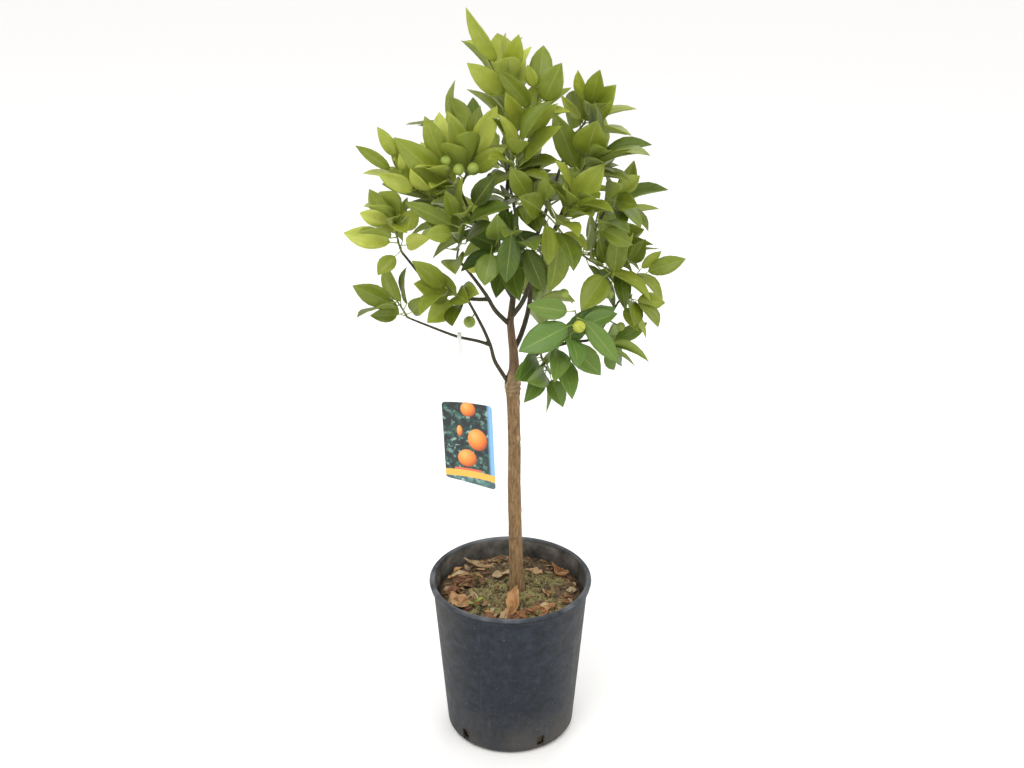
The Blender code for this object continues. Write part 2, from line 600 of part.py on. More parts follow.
def side_toward(spray, slot, stem, aim):
    """Which side of the twig looks most toward a leaf."""
    low, high = spray["rings"][2 * slot + 1], spray["rings"][2 * slot + 2]
    sides = [(low[n] + low[(n + 1) % len(low)] + high[n] + high[(n + 1) % len(low)]) / 4 - stem
             for n in range(len(low))]
    return max(range(len(low)), key=lambda n: sides[n].normalized().dot(aim))


def try_leaf(room, spray, slot, stem, base, tip, width, frame):
    """Keeps a leaf if nothing is in its way."""
    side = side_toward(spray, slot, stem, base - stem)
    tree, middle, reach = trial_blade(stem, base, tip, width, frame, CLEARANCE)
    if not room.free(tree, middle, reach):
        return False
    tree, middle, reach = trial_blade(stem, base, tip, width, frame, 0)
    room.add(tree, middle, reach)
    spray["leaves"][slot] = (side, base, tip, width, frame)
    return True


def leaf_from(stem, heading, aim):
    """Where a leaf's blade starts, on a short stalk that first leaves the twig sideways."""
    aim = aim.normalized()
    sideways = aim - heading * aim.dot(heading)
    sideways = sideways.normalized() if sideways.length > 0.05 else heading.orthogonal().normalized()
    return stem + (aim * 0.6 + sideways * 0.6) * STALK_LENGTH


def place_hand_leaves(room, spray):
    grown = LEAF_LENGTH / LEAF_BASIS
    front = Vector((0, -0.9, 0.42))
    for slot, n in spray["taken"].items():
        _, tip, width, roll = spray["hand"][n]
        stem, heading = point_along(spray["route"], spray["slots"][slot])
        target = Vector(tip) * UNIT
        base = leaf_from(stem, heading, target - stem)
        for shift in (0, 25, -25, 50, -50):
            for shorter in (1.0, 0.85):
                far = base + (target - base) * grown * shorter
                frame = leaf_frame(base, far, front, math.radians(roll + shift))
                if try_leaf(room, spray, slot, stem, base, far, width * UNIT * grown * shorter, frame):
                    break
            if slot in spray["leaves"]:
                break


# What a leaf without room tries in turn: a shift round the twig, a tilt and a share of its size.
ASIDE = ((0, 0, 1), (35, 0, 1), (-35, 0, 1), (0, -20, 0.9), (70, 5, 0.9), (-70, 5, 0.9), (110, 0, 0.8),
         (-110, 0, 0.8), (0, 20, 0.8), (150, -10, 0.75), (180, 0, 0.7), (40, 25, 0.65), (-40, 25, 0.65))


def place_rest(room, spray, seed):
    """Leaves set round the twig by a fixed turn from one to the next, each moved aside until it has room."""
    chance = random.Random(seed)
    crown = Vector((0, 0, 0.74 * TREE_HEIGHT))
    turn = chance.uniform(0, TURN)
    for slot, distance in enumerate(spray["slots"]):
        turn += math.radians(144)
        length = LEAF_LENGTH * chance.uniform(0.72, 1.08)
        width = length * chance.uniform(0.44, 0.54)
        lift = chance.uniform(40, 70)
        if slot in spray["leaves"]:
            continue
        stem, heading = point_along(spray["route"], distance)
        side = heading.orthogonal().normalized()
        up = heading.cross(side)
        outward = (stem - crown).normalized()
        for shift, tilt, size in ASIDE:
            angle = turn + math.radians(shift)
            lean = math.radians(lift + tilt)
            radial = side * math.cos(angle) + up * math.sin(angle)
            aim = heading * math.cos(lean) + radial * math.sin(lean) + outward * 0.35 + Vector((0, 0, 0.15))
            base = leaf_from(stem, heading, aim)
            tip = base + aim.normalized() * length * size
            facing = Vector((0, 0, 1)) * 0.8 + outward * 0.6 + heading * 0.3
            frame = leaf_frame(base, tip, facing, 0)
            if try_leaf(room, spray, slot, stem, base, tip, width * size, frame):
                break


# Fruits, label and litter


def build_fruit(name, place, size, wood, room):
    """A small round fruit hanging on its stalk, which stops just short of the twig."""
    centre = Vector(place) * UNIT
    radius = FRUIT_RADIUS * size
    touch, _, _, far = wood.find_nearest(centre)
    toward = (touch - centre).normalized()
    angles = [math.radians(angle) for angle in (35, 62, 90, 118, 145, 168)]
    along = [-radius * math.cos(angle) for angle in angles]
    wide = [radius * math.sin(angle) for angle in angles]
    stops = [-radius * 0.97, *along, radius * 1.08]
    for reach in (far - 3 * GAP, far - 0.004, far - 0.008, far - 0.012):
        route = [centre + toward * distance for distance in (*stops, max(reach, radius * 1.08 + 0.001))]
        mesh = tube(route, [radius * 0.25, *wide, 0.0009, 0.0008], 9)
        body = mesh.copy()
        tree = tree_of(body)
        body.free()
        if room.free(tree, centre, far + radius):
            break
    room.add(tree, centre, far + radius)
    return finish(mesh, name, (0.42, 0.50, 0.10), 0.4)


def label_route():
    """The label's middle line: up the card, up the strap, over the branch and down again behind it."""
    hang = Vector((-6.3, -4.9, 60.9)) * UNIT
    top = Vector((-5.5, -5.8, 52.2)) * UNIT
    foot = top + Vector((0.0045, 0.003, -LABEL_HEIGHT))
    loop = 0.0065
    arch = [hang + Vector((0, -loop * math.cos(a), loop * math.sin(a))) for a in
            [math.radians(angle) for angle in (0, 30, 60, 90, 120, 150, 180)]]
    return foot, top, [*arch, hang + Vector((0, loop, -0.022))]


def build_label(room):
    """A printed card that hangs by its own narrow strap."""
    foot, top, loop = label_route()
    card = 8
    middle = [foot + (top - foot) * (k / card) for k in range(card + 1)]
    widths = [LABEL_WIDTH] * card + [LABEL_WIDTH * 0.94]
    middle += [top + (loop[0] - top) * share for share in (0.02, 0.05, 0.5)] + loop
    widths += [LABEL_WIDTH * 0.55, STRAP_WIDTH] + [STRAP_WIDTH] * (len(middle) - len(widths) - 2)
    roll = math.radians(7)
    across = Vector((math.cos(roll), 0.10, -math.sin(roll))).normalized()
    columns = 4
    mesh = bmesh.new()
    rings = []
    for k, (point, width) in enumerate(zip(middle, widths)):
        ahead = (middle[min(k + 1, len(middle) - 1)] - middle[max(k - 1, 0)]).normalized()
        out = across.cross(ahead).normalized()
        bow = 0.004 * (width / LABEL_WIDTH) ** 2
        line = []
        for face in (1, -1):
            order = range(columns + 1) if face == 1 else range(columns, -1, -1)
            for n in order:
                share = 2 * n / columns - 1
                line.append(mesh.verts.new(point + across * share * width / 2
                                           + out * (bow * (share ** 2 - 0.5) - face * LABEL_THICKNESS / 2)))
        rings.append(line)
    count = len(rings[0])
    mesh.faces.new(rings[0])
    for low, high in zip(rings, rings[1:]):
        for n in range(count):
            mesh.faces.new((low[n], high[n], high[(n + 1) % count], low[(n + 1) % count]))
    mesh.faces.new(reversed(rings[-1]))
    body = mesh.copy()
    room.add_mesh(body)
    body.free()
    return finish(mesh, "label", (0.05, 0.16, 0.10), 0.35)


def build_fallen(name, place, heading, length, width, curl, fold, lean, soil):
    """A dry leaf, curled and folded, lying on the soil."""
    turn = math.radians(heading)
    tilt = math.radians(lean)
    along = Vector((math.cos(turn) * math.cos(tilt), math.sin(turn) * math.cos(tilt), math.sin(tilt)))
    across = Vector((-math.sin(turn), math.cos(turn), 0))
    out = along.cross(across)
    middle = Vector((*place, 0.3))
    rings = []
    for t in (0.12, 0.3, 0.5, 0.7, 0.88):
        half = width / 2 * leaf_width(t)
        point = middle + along * length * (t - 0.5) + out * curl * length * (2 * t - 1) ** 2
        rings.append([point + across * half + out * half * fold, point + out * 0.0006,
                      point - across * half + out * half * fold, point - out * 0.0006])
    ends = [middle + along * length * (t - 0.5) + out * curl * length for t in (0, 1)]
    mesh = bmesh.new()
    last = [mesh.verts.new(point) for point in rings[0]]
    first = mesh.verts.new(ends[0])
    for k in range(4):
        mesh.faces.new((first, last[(k + 1) % 4], last[k]))
    for ring in rings[1:]:
        fresh = [mesh.verts.new(point) for point in ring]
        for k in range(4):
            mesh.faces.new((last[k], last[(k + 1) % 4], fresh[(k + 1) % 4], fresh[k]))
        last = fresh
    end = mesh.verts.new(ends[1])
    for k in range(4):
        mesh.faces.new((last[k], last[(k + 1) % 4], end))
    drop = min(vert.co.z - soil_height(vert.co.x, vert.co.y) for vert in mesh.verts)
    for step in range(40):
        bmesh.ops.translate(mesh, vec=(0, 0, -drop + 0.0004 if step == 0 else 0.0002), verts=mesh.verts)
        trial = mesh.copy()
        clash = tree_of(trial).overlap(soil)
        trial.free()
        if not clash:
            break
    bmesh.ops.translate(mesh, vec=(0, 0, GAP), verts=mesh.verts)
    finish(mesh, "fallen_leaf_" + name, (0.36, 0.20, 0.09), 0.8)


def build_seedling():
    """A little weed: a stem with four small leaves."""
    foot = Vector((-0.048, -0.044, 0))
    foot.z = soil_height(foot.x, foot.y) + 2 * GAP
    tip = foot + Vector((0.001, -0.002, 0.012))
    spray = {"route": [foot, tip], "rings": [], "leaves": {}}
    stops = (0.0, 0.0045, 0.0065, 0.0085, 0.0105, 0.0122)
    for distance in stops:
        point, _ = point_along(spray["route"], distance)
        spray["rings"].append([point + 0.0007 * Vector((math.cos(TURN * n / TWIG_SIDES),
                                                        math.sin(TURN * n / TWIG_SIDES), 0))
                               for n in range(TWIG_SIDES)])
    for slot, turn in ((0, 200), (1, 20)):
        stem = point_along(spray["route"], stops[2 * slot + 1] + 0.001)[0]
        aim = Vector((math.cos(math.radians(turn)), math.sin(math.radians(turn)), 0.5))
        base = stem + aim.normalized() * 0.003
        far = base + aim.normalized() * 0.009
        frame = leaf_frame(base, far, Vector((0, 0, 1)), 0)
        side = side_toward(spray, slot, stem, aim)
        spray["leaves"][slot] = (side, base, far, 0.006, frame)
    finish(twig_mesh(spray), "seedling", (0.20, 0.36, 0.08), 0.5)


def main():
    for thing in list(bpy.data.objects):
        bpy.data.objects.remove(thing)
    build_pot()
    routes, trunk_sleeve = build_wood()
    soil = build_soil(trunk_sleeve)
    soil_mesh = bmesh.new()
    soil_mesh.from_mesh(soil.data)
    soil_tree = tree_of(soil_mesh)
    soil_mesh.free()

    room = Room()
    wood = bmesh.new()
    for path, sizes, sides in routes.values():
        piece = tube(path, sizes, sides)
        room.add_mesh(piece)
        data = bpy.data.meshes.new("guide")
        piece.to_mesh(data)
        wood.from_mesh(data)
        bpy.data.meshes.remove(data)
        piece.free()
    sprays = [plan_spray(name, plan, tree_of(wood)) for name, plan in SPRAYS.items()]
    for spray in sprays:
        twig = twig_mesh(spray)
        room.add_mesh(twig)
        data = bpy.data.meshes.new("guide")
        twig.to_mesh(data)
        wood.from_mesh(data)
        bpy.data.meshes.remove(data)
        twig.free()
    growth = tree_of(wood)
    build_label(room)
    for name, (place, size) in FRUITS.items():
        build_fruit("fruit_" + name, place, size, growth, room)
    for spray in sprays:
        place_hand_leaves(room, spray)
    for seed, spray in enumerate(sprays):
        place_rest(room, spray, seed)
    for spray in sprays:
        finish(twig_mesh(spray), "leaves_" + spray["name"], (0.15, 0.24, 0.04), 0.45)
    for name, settings in FALLEN.items():
        build_fallen(name, *settings, soil_tree)
    build_seedling()
    print("leaves:", sum(len(spray["leaves"]) for spray in sprays),
          "by hand:", sum(len(set(spray["taken"]) & set(spray["leaves"])) for spray in sprays),
          "of", sum(len(spray["hand"]) for spray in sprays))


main()
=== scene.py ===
import functools
import math
import random

import bmesh
import bpy
from mathutils import Matrix, Vector, noise
from mathutils.bvhtree import BVHTree


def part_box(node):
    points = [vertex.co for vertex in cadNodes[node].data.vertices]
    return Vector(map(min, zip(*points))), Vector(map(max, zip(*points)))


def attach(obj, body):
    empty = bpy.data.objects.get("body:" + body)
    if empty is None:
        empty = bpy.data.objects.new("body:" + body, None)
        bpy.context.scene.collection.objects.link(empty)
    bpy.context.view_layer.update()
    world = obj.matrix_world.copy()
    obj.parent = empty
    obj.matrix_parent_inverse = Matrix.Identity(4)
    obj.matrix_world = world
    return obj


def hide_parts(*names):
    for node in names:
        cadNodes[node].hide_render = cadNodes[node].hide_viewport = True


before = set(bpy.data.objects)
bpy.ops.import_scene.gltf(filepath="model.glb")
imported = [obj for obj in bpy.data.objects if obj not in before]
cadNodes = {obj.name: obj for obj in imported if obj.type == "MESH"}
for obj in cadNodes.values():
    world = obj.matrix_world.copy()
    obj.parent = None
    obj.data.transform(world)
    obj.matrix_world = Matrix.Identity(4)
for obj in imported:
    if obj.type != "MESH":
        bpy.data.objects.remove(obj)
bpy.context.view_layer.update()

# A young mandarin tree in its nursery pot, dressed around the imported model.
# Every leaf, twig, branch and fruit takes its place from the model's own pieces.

up = Vector((0, 0, 1))
fullTurn = 2 * math.pi
noise.seed_set(4)  # so that every run gives the same bumps


# Small tools

def linear(hexColour):
    # sRGB hex to the linear colour that a shader takes
    parts = [int(hexColour[k:k + 2], 16) / 255 for k in (1, 3, 5)]
    return tuple(c / 12.92 if c < 0.04045 else ((c + 0.055) / 1.055) ** 2.4 for c in parts) + (1,)


def fill(node, inputs):
    # sets a node's inputs, by name or in the order of those in use, to values or to sockets to link
    used = [socket for socket in node.inputs if socket.enabled]
    for key, value in inputs.items() if isinstance(inputs, dict) else enumerate(inputs):
        target = node.inputs[key] if isinstance(key, str) else used[key]
        if isinstance(value, bpy.types.NodeSocket):
            node.id_data.links.new(value, target)
        else:
            target.default_value = value


def addNode(tree, kind, *inputs, **settings):
    # one shader node with its settings and inputs: gives its first output in use
    made = tree.nodes.new("ShaderNode" + kind)
    if kind == "Mix":
        made.data_type = "RGBA"  # every mix here is of colours
    for key, value in settings.items():
        if key == "stops":
            ramp = made.color_ramp
            while len(ramp.elements) < len(value):
                ramp.elements.new(0.5)
            for element, (place, colour) in zip(ramp.elements, value):
                element.position = place
                element.color = linear(colour) if isinstance(colour, str) else (colour,) * 3 + (1,)
        else:
            setattr(made, key, value)
    fill(made, inputs[0] if inputs and isinstance(inputs[0], dict) else inputs)
    return next(socket for socket in made.outputs if socket.enabled)


def newMaterial(name, values):
    # a material, its shader, and addNode for its own tree
    made = bpy.data.materials.new(name)
    made.use_nodes = True
    shader = made.node_tree.nodes["Principled BSDF"]
    fill(shader, values)
    return made, shader, functools.partial(addNode, made.node_tree)


def mergedCopy(node):
    # a merged copy of a CAD node, which itself is left alone
    copy = bmesh.new()
    copy.from_mesh(cadNodes[node].data)
    bmesh.ops.remove_doubles(copy, verts=copy.verts, dist=2e-5)
    return copy


def searchTree(*names):
    # finds the nearest place on CAD nodes
    whole = bmesh.new()
    for name in names:
        whole.from_mesh(cadNodes[name].data)
    found = BVHTree.FromBMesh(whole)
    whole.free()
    return found


def facesRound(verts):
    return list(dict.fromkeys(face for vert in verts for face in vert.link_faces))


def addPiece(shape, name, materials, replaced=(), smooth=True):
    # a finished piece, from a bmesh or a mesh
    data = shape
    if isinstance(shape, bmesh.types.BMesh):
        data = bpy.data.meshes.new(name)
        shape.to_mesh(data)
        shape.free()
    data.name = name
    piece = bpy.data.objects.new(name, data)
    bpy.context.scene.collection.objects.link(piece)
    for made in materials:
        data.materials.append(made)
    if smooth:
        data.shade_smooth()
    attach(piece, "root")
    if replaced:
        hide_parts(*replaced)
    return piece


def tubes(routes, roundness, materialIndex=0):
    # one mesh of round tubes: each route is a list of points and a list of radii
    curve = bpy.data.curves.new("tubes", "CURVE")
    curve.dimensions = "3D"
    curve.bevel_depth = 1
    curve.bevel_resolution = roundness
    curve.use_fill_caps = True
    for points, radii in routes:
        spline = curve.splines.new("POLY")
        spline.points.add(len(points) - 1)
        for spot, point, radius in zip(spline.points, points, radii):
            spot.co = (*point, 1)
            spot.radius = radius
    holder = bpy.data.objects.new("tubes", curve)
    data = bpy.data.meshes.new_from_object(holder)
    bpy.data.objects.remove(holder)
    bpy.data.curves.remove(curve)
    data.polygons.foreach_set("material_index", [materialIndex] * len(data.polygons))
    data.attributes.remove(data.attributes["UVMap"])
    return data


def joinMesh(target, data):
    # adds a mesh of tubes and closes its caps
    before = len(target.verts)
    target.from_mesh(data)
    target.verts.ensure_lookup_table()
    bmesh.ops.remove_doubles(target, verts=target.verts[before:], dist=1e-6)
    bpy.data.meshes.remove(data)


def smoothRoute(points, steps):
    # extra points on a smooth line through the given ones
    ends = [points[0] * 2 - points[1], *points, points[-1] * 2 - points[-2]]
    route = []
    for a, b, c, d in zip(ends, ends[1:], ends[2:], ends[3:]):
        for k in range(steps):
            t = k / steps
            route.append(0.5 * ((2 * b) + (c - a) * t + (2 * a - 5 * b + 4 * c - d) * t ** 2
                                + (3 * b - a - 3 * c + d) * t ** 3))
    return [*route, points[-1]]


# Camera, light and floor

stage = {
    "camera": (0.0022, -1.766, 1.324), "tilt": 0.4258, "lens": 52.734,
    "sky": 1.0, "lights": (("key", (-0.9, -1.6, 2.8), 2.0, 34), ("fill", (1.9, -1.4, 1.8), 2.0, 14),
                           ("back", (0.5, 2.2, 2.4), 1.8, 16)),
    "floor": "#fbfaf8", "reach": 15, "aim": (0, 0, 0.6),
}


def buildStage():
    scene = bpy.context.scene
    lens = bpy.data.cameras.new("camera")
    lens.lens = stage["lens"]
    lens.sensor_width = 36
    camera = bpy.data.objects.new("camera", lens)
    camera.location = stage["camera"]
    camera.rotation_euler.x = math.pi / 2 - stage["tilt"]
    scene.collection.objects.link(camera)
    scene.camera = camera
    scene.view_settings.view_transform = "Standard"
    world = bpy.data.worlds.new("studio")
    scene.world = world
    world.use_nodes = True
    world.node_tree.nodes["Background"].inputs["Color"].default_value = (1, 1, 1, 1)
    world.node_tree.nodes["Background"].inputs["Strength"].default_value = stage["sky"]
    for name, place, size, power in stage["lights"]:
        light = bpy.data.lights.new(name, "AREA")
        light.shape = "DISK"
        light.size = size
        light.energy = power
        lamp = bpy.data.objects.new(name, light)
        lamp.location = place
        lamp.rotation_euler = (Vector(stage["aim"]) - Vector(place)).to_track_quat("-Z", "Y").to_euler()
        scene.collection.objects.link(lamp)
    # matt white vinyl sheet: takes soft shadows and shows no shine
    made, _, _ = newMaterial("mattVinylFloor", {"Base Color": linear(stage["floor"]), "Roughness": 0.8})
    shape = bmesh.new()
    bmesh.ops.create_grid(shape, x_segments=1, y_segments=1, size=stage["reach"])
    data = bpy.data.meshes.new("floor")
    shape.to_mesh(data)
    shape.free()
    data.materials.append(made)
    floor = bpy.data.objects.new("floor", data)
    scene.collection.objects.link(floor)


buildStage()
print("camera, lights and floor are in place")


# Pot: injection moulded, with a rolled rim and drain slots, scuffed and dusty from the nursery bed

pot = {
    "wall": 0.0022, "rimWidth": 0.0075, "rimDepth": 0.0095, "baseRounding": 0.010, "steps": 144,
    "foot": 0.088, "lean": (0.107 - 0.088) / 0.233,  # radius at the base, and its growth per metre up
    "slots": 5, "slotTurn": -62, "slotDepth": 0.022, "slotWidth": 0.0115, "slotHeight": 0.020,
    "slotFoot": 0.005, "slotCorner": 0.0012, "colour": "#22272f", "dust": "#58544c", "scuff": "#8b8d90",
}


def potMaterial():
    # moulded polypropylene: dark with a soft sheen, dusty low down, greyer toward its left and right
    # sides, stained inside
    made, shader, add = newMaterial("mouldedPolypropylene", {"IOR": 1.49, "Specular IOR Level": 0.24})
    place = add("TexCoord").node.outputs["Object"]
    x, y, z = add("SeparateXYZ", place).node.outputs
    body = add("ValToRGB", add("TexNoise", place, 62, 7, 0.72),
               stops=((0.34, "#181b20"), (0.5, pot["colour"]), (0.66, "#2e333b")))
    low = add("MapRange", z, 0.075, 0.0, 0.0, 0.75)
    # greyer toward the left and right sides as the camera sees them
    flank = add("MapRange", add("Math", x, operation="ABSOLUTE"), 0.055, 0.105, 0.0, 0.55)
    wide = add("Mapping", {"Vector": place, "Scale": (1, 1, 0.7)})
    patchy = add("ValToRGB", add("TexNoise", wide, 17, 5, 0.6), stops=((0.34, 0.15), (0.62, 1.0)))
    dustLowGreySides = add("Math", add("Math", low, flank, operation="MAXIMUM"), patchy, operation="MULTIPLY")
    colour = add("Mix", dustLowGreySides, body, linear(pot["dust"]))
    # dried runs of water, a centimetre wide and far taller
    drawn = add("Mapping", {"Vector": place, "Scale": (1, 1, 0.16), "Location": (3, 0, 0)})
    runs = add("ValToRGB", add("TexNoise", drawn, 90, 3, 0.5), stops=((0.62, 0.0), (0.76, 0.22)))
    colour = add("Mix", runs, colour, linear("#5a605f"))
    # specks of grit, 2 mm across
    specks = add("ValToRGB", add("TexNoise", place, 420, 2, 0.5), stops=((0.73, 0.0), (0.76, 0.8)))
    colour = add("Mix", specks, colour, linear(pot["scuff"]))
    far = add("VectorMath", add("CombineXYZ", x, y), operation="LENGTH")
    wallHere = add("Math", z, pot["lean"], pot["foot"] - pot["wall"] * 0.6, operation="MULTIPLY_ADD")
    inside = add("Math", far, wallHere, operation="LESS_THAN")
    stained = add("ValToRGB", add("TexNoise", place, 34, 5, 0.65),
                  stops=((0.34, "#37332d"), (0.5, "#605c54"), (0.66, "#837d74")))
    colour = add("Mix", add("Math", inside, 0.8, operation="MULTIPLY"), colour, stained)
    # painted highlight: the top of the rim is lighter grey, standing in for the light caught by its
    # rounded edge
    paintedRimHighlight = add("ValToRGB", add("TexNoise", place, 36, 4, 0.55),
                  stops=((0.36, "#292d32"), (0.5, "#45494e"), (0.66, "#63676c")))
    colour = add("Mix", add("MapRange", z, 0.2275, 0.2315, 0.0, 0.75), colour, paintedRimHighlight)
    sheen = add("MapRange", add("TexNoise", place, 60, 5, 0.55), 0.3, 0.7, 0.44, 0.66)
    sheen = add("Math", dustLowGreySides, 0.2, sheen, operation="MULTIPLY_ADD")
    # the mould's grain is 0.8 mm here, coarser than the real one so that it shows
    grain = add("TexNoise", place, 1200, 2, 0.55)
    grain = add("Bump", {"Strength": 0.25, "Distance": 0.0004, "Height": grain})
    waves = add("TexNoise", place, 45, 3, 0.55)
    waves = add("Bump", {"Strength": 0.35, "Distance": 0.001, "Height": waves, "Normal": grain})
    fill(shader, {"Base Color": colour, "Roughness": sheen, "Normal": waves})
    return made


def spinProfile(points, steps):
    # turns a profile that starts and ends on the axis into a closed body
    shape = bmesh.new()
    verts = [shape.verts.new((x, 0, z)) for x, z in points]
    edges = [shape.edges.new(pair) for pair in zip(verts, verts[1:])]
    bmesh.ops.spin(shape, geom=verts + edges, cent=(0, 0, 0), axis=(0, 0, 1), angle=fullTurn, steps=steps,
                   use_merge=True, use_duplicate=False)
    bmesh.ops.remove_doubles(shape, verts=shape.verts, dist=1e-6)
    bmesh.ops.recalc_face_normals(shape, faces=shape.faces)
    return shape


def buildPot():
    _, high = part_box("pot")
    height, rim = high.z, high.x
    base = pot["foot"]
    rounding, wall = pot["baseRounding"], pot["wall"]
    lip, under = rim - pot["rimWidth"], height - pot["rimDepth"]

    def wallRadius(z):
        return base + pot["lean"] * z

    corner = []
    for k in range(6):
        turn = math.radians(18 * k)
        corner.append((wallRadius(rounding) - rounding * (1 - math.sin(turn)),
                       rounding * (1 - math.cos(turn))))
    levels = [rounding + (under - rounding) * k / 12 for k in range(1, 12)]
    side = [(wallRadius(z), z) for z in levels]
    # the rim's outside, its rounded top, and the lip inside
    bead = [(wallRadius(under - 0.0006), under - 0.0006), (rim - 0.0034, under),
            (rim - 0.0020, under + 0.0003), (rim - 0.0013, under + 0.0012),
            (rim - 0.0011, under + 0.0046), (rim - 0.0015, height - 0.0046),
            (rim - 0.0006, height - 0.0040), (rim, height - 0.0028),
            (rim - 0.0002, height - 0.0015), (rim - 0.0011, height - 0.0004), (rim - 0.0026, height),
            (rim - 0.0044, height - 0.0003), (lip + 0.0014, height - 0.0003),
            (lip + 0.0004, height - 0.0012), (lip, height - 0.0024)]
    levels = (under - 0.004, height * 0.7, height * 0.4, rounding + 0.001)
    inner = [(wallRadius(z) - wall, z) for z in levels]
    floor = [(corner[0][0] - 0.001, wall), (0.05, wall), (0, wall)]
    underside = [(0, 0.0008), (base * 0.6, 0.0008), (base * 0.8, 0.0)]
    shape = spinProfile([*underside, *corner, *side, *bead, *inner, *floor], pot["steps"])
    piece = addPiece(shape, "potMoulding", [potMaterial()], ["pot"])
    cutters = bmesh.new()
    for k in range(pot["slots"]):
        turn = math.radians(pot["slotTurn"]) + fullTurn * k / pot["slots"]
        middle = Vector((base, 0, pot["slotFoot"] + pot["slotHeight"] / 2))
        place = Matrix.Rotation(turn, 4, "Z") @ Matrix.Translation(middle)
        cube = bmesh.ops.create_cube(cutters, size=1)["verts"]
        bmesh.ops.scale(cutters, vec=(pot["slotDepth"], pot["slotWidth"], pot["slotHeight"]), verts=cube)
        edges = dict.fromkeys(edge for vert in cube for edge in vert.link_edges
                              if abs(edge.verts[0].co.x - edge.verts[1].co.x) > 0.01)
        rounded = bmesh.ops.bevel(cutters, geom=list(edges), affect="EDGES", offset=pot["slotCorner"],
                                  segments=3, profile=0.5, material=-1)["verts"]
        verts = dict.fromkeys([*rounded, *[vert for vert in cube if vert.is_valid]])
        bmesh.ops.transform(cutters, matrix=place, verts=list(verts))
    data = bpy.data.meshes.new("slotCutter")
    cutters.to_mesh(data)
    cutters.free()
    cutter = bpy.data.objects.new("slotCutter", data)
    bpy.context.scene.collection.objects.link(cutter)
    cut = piece.modifiers.new("slots", "BOOLEAN")
    cut.operation = "DIFFERENCE"
    cut.object = cutter
    bpy.context.view_layer.update()
    carved = bpy.data.meshes.new_from_object(piece.evaluated_get(bpy.context.evaluated_depsgraph_get()))
    piece.modifiers.clear()
    piece.data = carved
    bpy.data.objects.remove(cutter)
    soften = piece.modifiers.new("softEdges", "EDGE_SPLIT")
    soften.split_angle = math.radians(38)


buildPot()
print("pot is moulded")


# Soil: potting bark and peat, with moss where it stays damp

soil = {
    "steps": 260, "rings": 74, "mossHeight": 0.0016,
    "lumps": ((40, 0.0032), (95, 0.0036), (240, 0.0024), (600, 0.0011)),  # how many per metre, how high
    "earth": "#5d4c3b", "dark": "#372c22", "pale": "#857256", "moss": "#827a4b", "mossPale": "#b5ad79",
}
soilTree = searchTree("soil")


def soilTop(x, y):
    # the height of the CAD model's soil, which ends just past this reach
    reach = 0.0985
    far = math.hypot(x, y)
    if far > reach:
        x, y = x * reach / far, y * reach / far
    return soilTree.ray_cast(Vector((x, y, 0.3)), -up)[0].z


def lumpiness(x, y):
    return sum(size * noise.noise(Vector((x * scale, y * scale, scale))) for scale, size in soil["lumps"])


def mossShare(x, y):
    # how mossy the soil is: most in the middle, bare toward the wall and the back
    patch = noise.noise(Vector((x * 26, y * 26, 3.3))) + 0.5 * noise.noise(Vector((x * 70, y * 70, 8)))
    bare = (math.hypot(x, y + 0.012) / 0.088) ** 3 + 5 * max(y - 0.03, 0)
    return max(0.0, min(1.0, 1.1 + 1.6 * patch - bare))


def soilMaterial():
    # damp peat and shredded bark: matt and dark, under a soft moss that ends in ragged edges
    made, shader, add = newMaterial("pottingBarkAndMoss", {"Roughness": 0.93, "IOR": 1.35})
    place = add("TexCoord").node.outputs["Object"]
    light, mossy, _ = add("SeparateColor", add("Attribute", attribute_name="soilMix")).node.outputs
    grain = add("TexNoise", place, 520, 5, 0.7)  # fibres and grains of 2 mm
    earth = add("ValToRGB", grain,
                stops=((0.28, soil["dark"]), (0.5, soil["earth"]), (0.72, soil["pale"])))
    moss = add("ValToRGB", add("TexNoise", place, 700, 5, 0.75),
               stops=((0.3, "#4b4424"), (0.5, soil["moss"]), (0.7, soil["mossPale"])))
    mossy = add("Math", mossy, 0.45, operation="SUBTRACT")
    ragged = add("Math", add("TexNoise", place, 160, 4, 0.55), 0.9, mossy, operation="MULTIPLY_ADD")
    share = add("ValToRGB", ragged, stops=((0.36, 0.0), (0.60, 0.92)))
    colour = add("Mix", share, earth, moss)
    # painted shade: the soil is darker in the hollows between its lumps
    colour = add("Mix", light, linear("#2a221a"), colour)
    bump = add("Bump", {"Strength": 0.9, "Distance": 0.0012, "Height": grain})
    fill(shader, {"Base Color": colour, "Normal": bump})
    return made


def buildSoil():
    low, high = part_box("soil")
    edge = high.x
    top = soilTop(edge, 0)
    profile = [(0, low.z), (edge * 0.78, low.z), (edge * 0.80, low.z + 0.004), (edge * 0.83, 0.012)]
    profile += [(edge * (0.83 + 0.17 * k / 8), 0.012 + (top - 0.014) * k / 8) for k in range(1, 9)]
    profile += [(edge * (1 - k / soil["rings"]) ** 0.8, top + 0.01) for k in range(soil["rings"])]
    profile += [(0, top + 0.01)]
    shape = spinProfile(profile, soil["steps"])
    layer = shape.verts.layers.float_color.new("soilMix")
    for vert in shape.verts:
        x, y, z = vert.co
        far = math.hypot(x, y)
        if z > top + 0.005:
            rough = lumpiness(x, y)
            moss = mossShare(x, y)
            calm = min(1, max(0, (edge - far) / 0.010))
            sunk = 0.006 * (1 - calm) ** 2
            vert.co.z = soilTop(x, y) + rough * (0.35 + 0.65 * calm) - sunk
            vert.co.z += soil["mossHeight"] * moss * calm
            # the first channel is lower in the hollows, for the painted shade there
            vert[layer] = (max(0.12, min(1, 0.74 + rough / 0.0032)), moss, 0, 1)
        else:
            wave = 1 + 0.010 * noise.noise(Vector((x, y, z)) * 160) - 0.010
            vert.co.x, vert.co.y = x * wave, y * wave
            vert[layer] = (0.75, 0, 0, 1)
    addPiece(shape, "soilSurface", [soilMaterial()], ["soil"])


buildSoil()
print("soil is filled in")


# Wood: the stem and its ten branches, grown into one skin

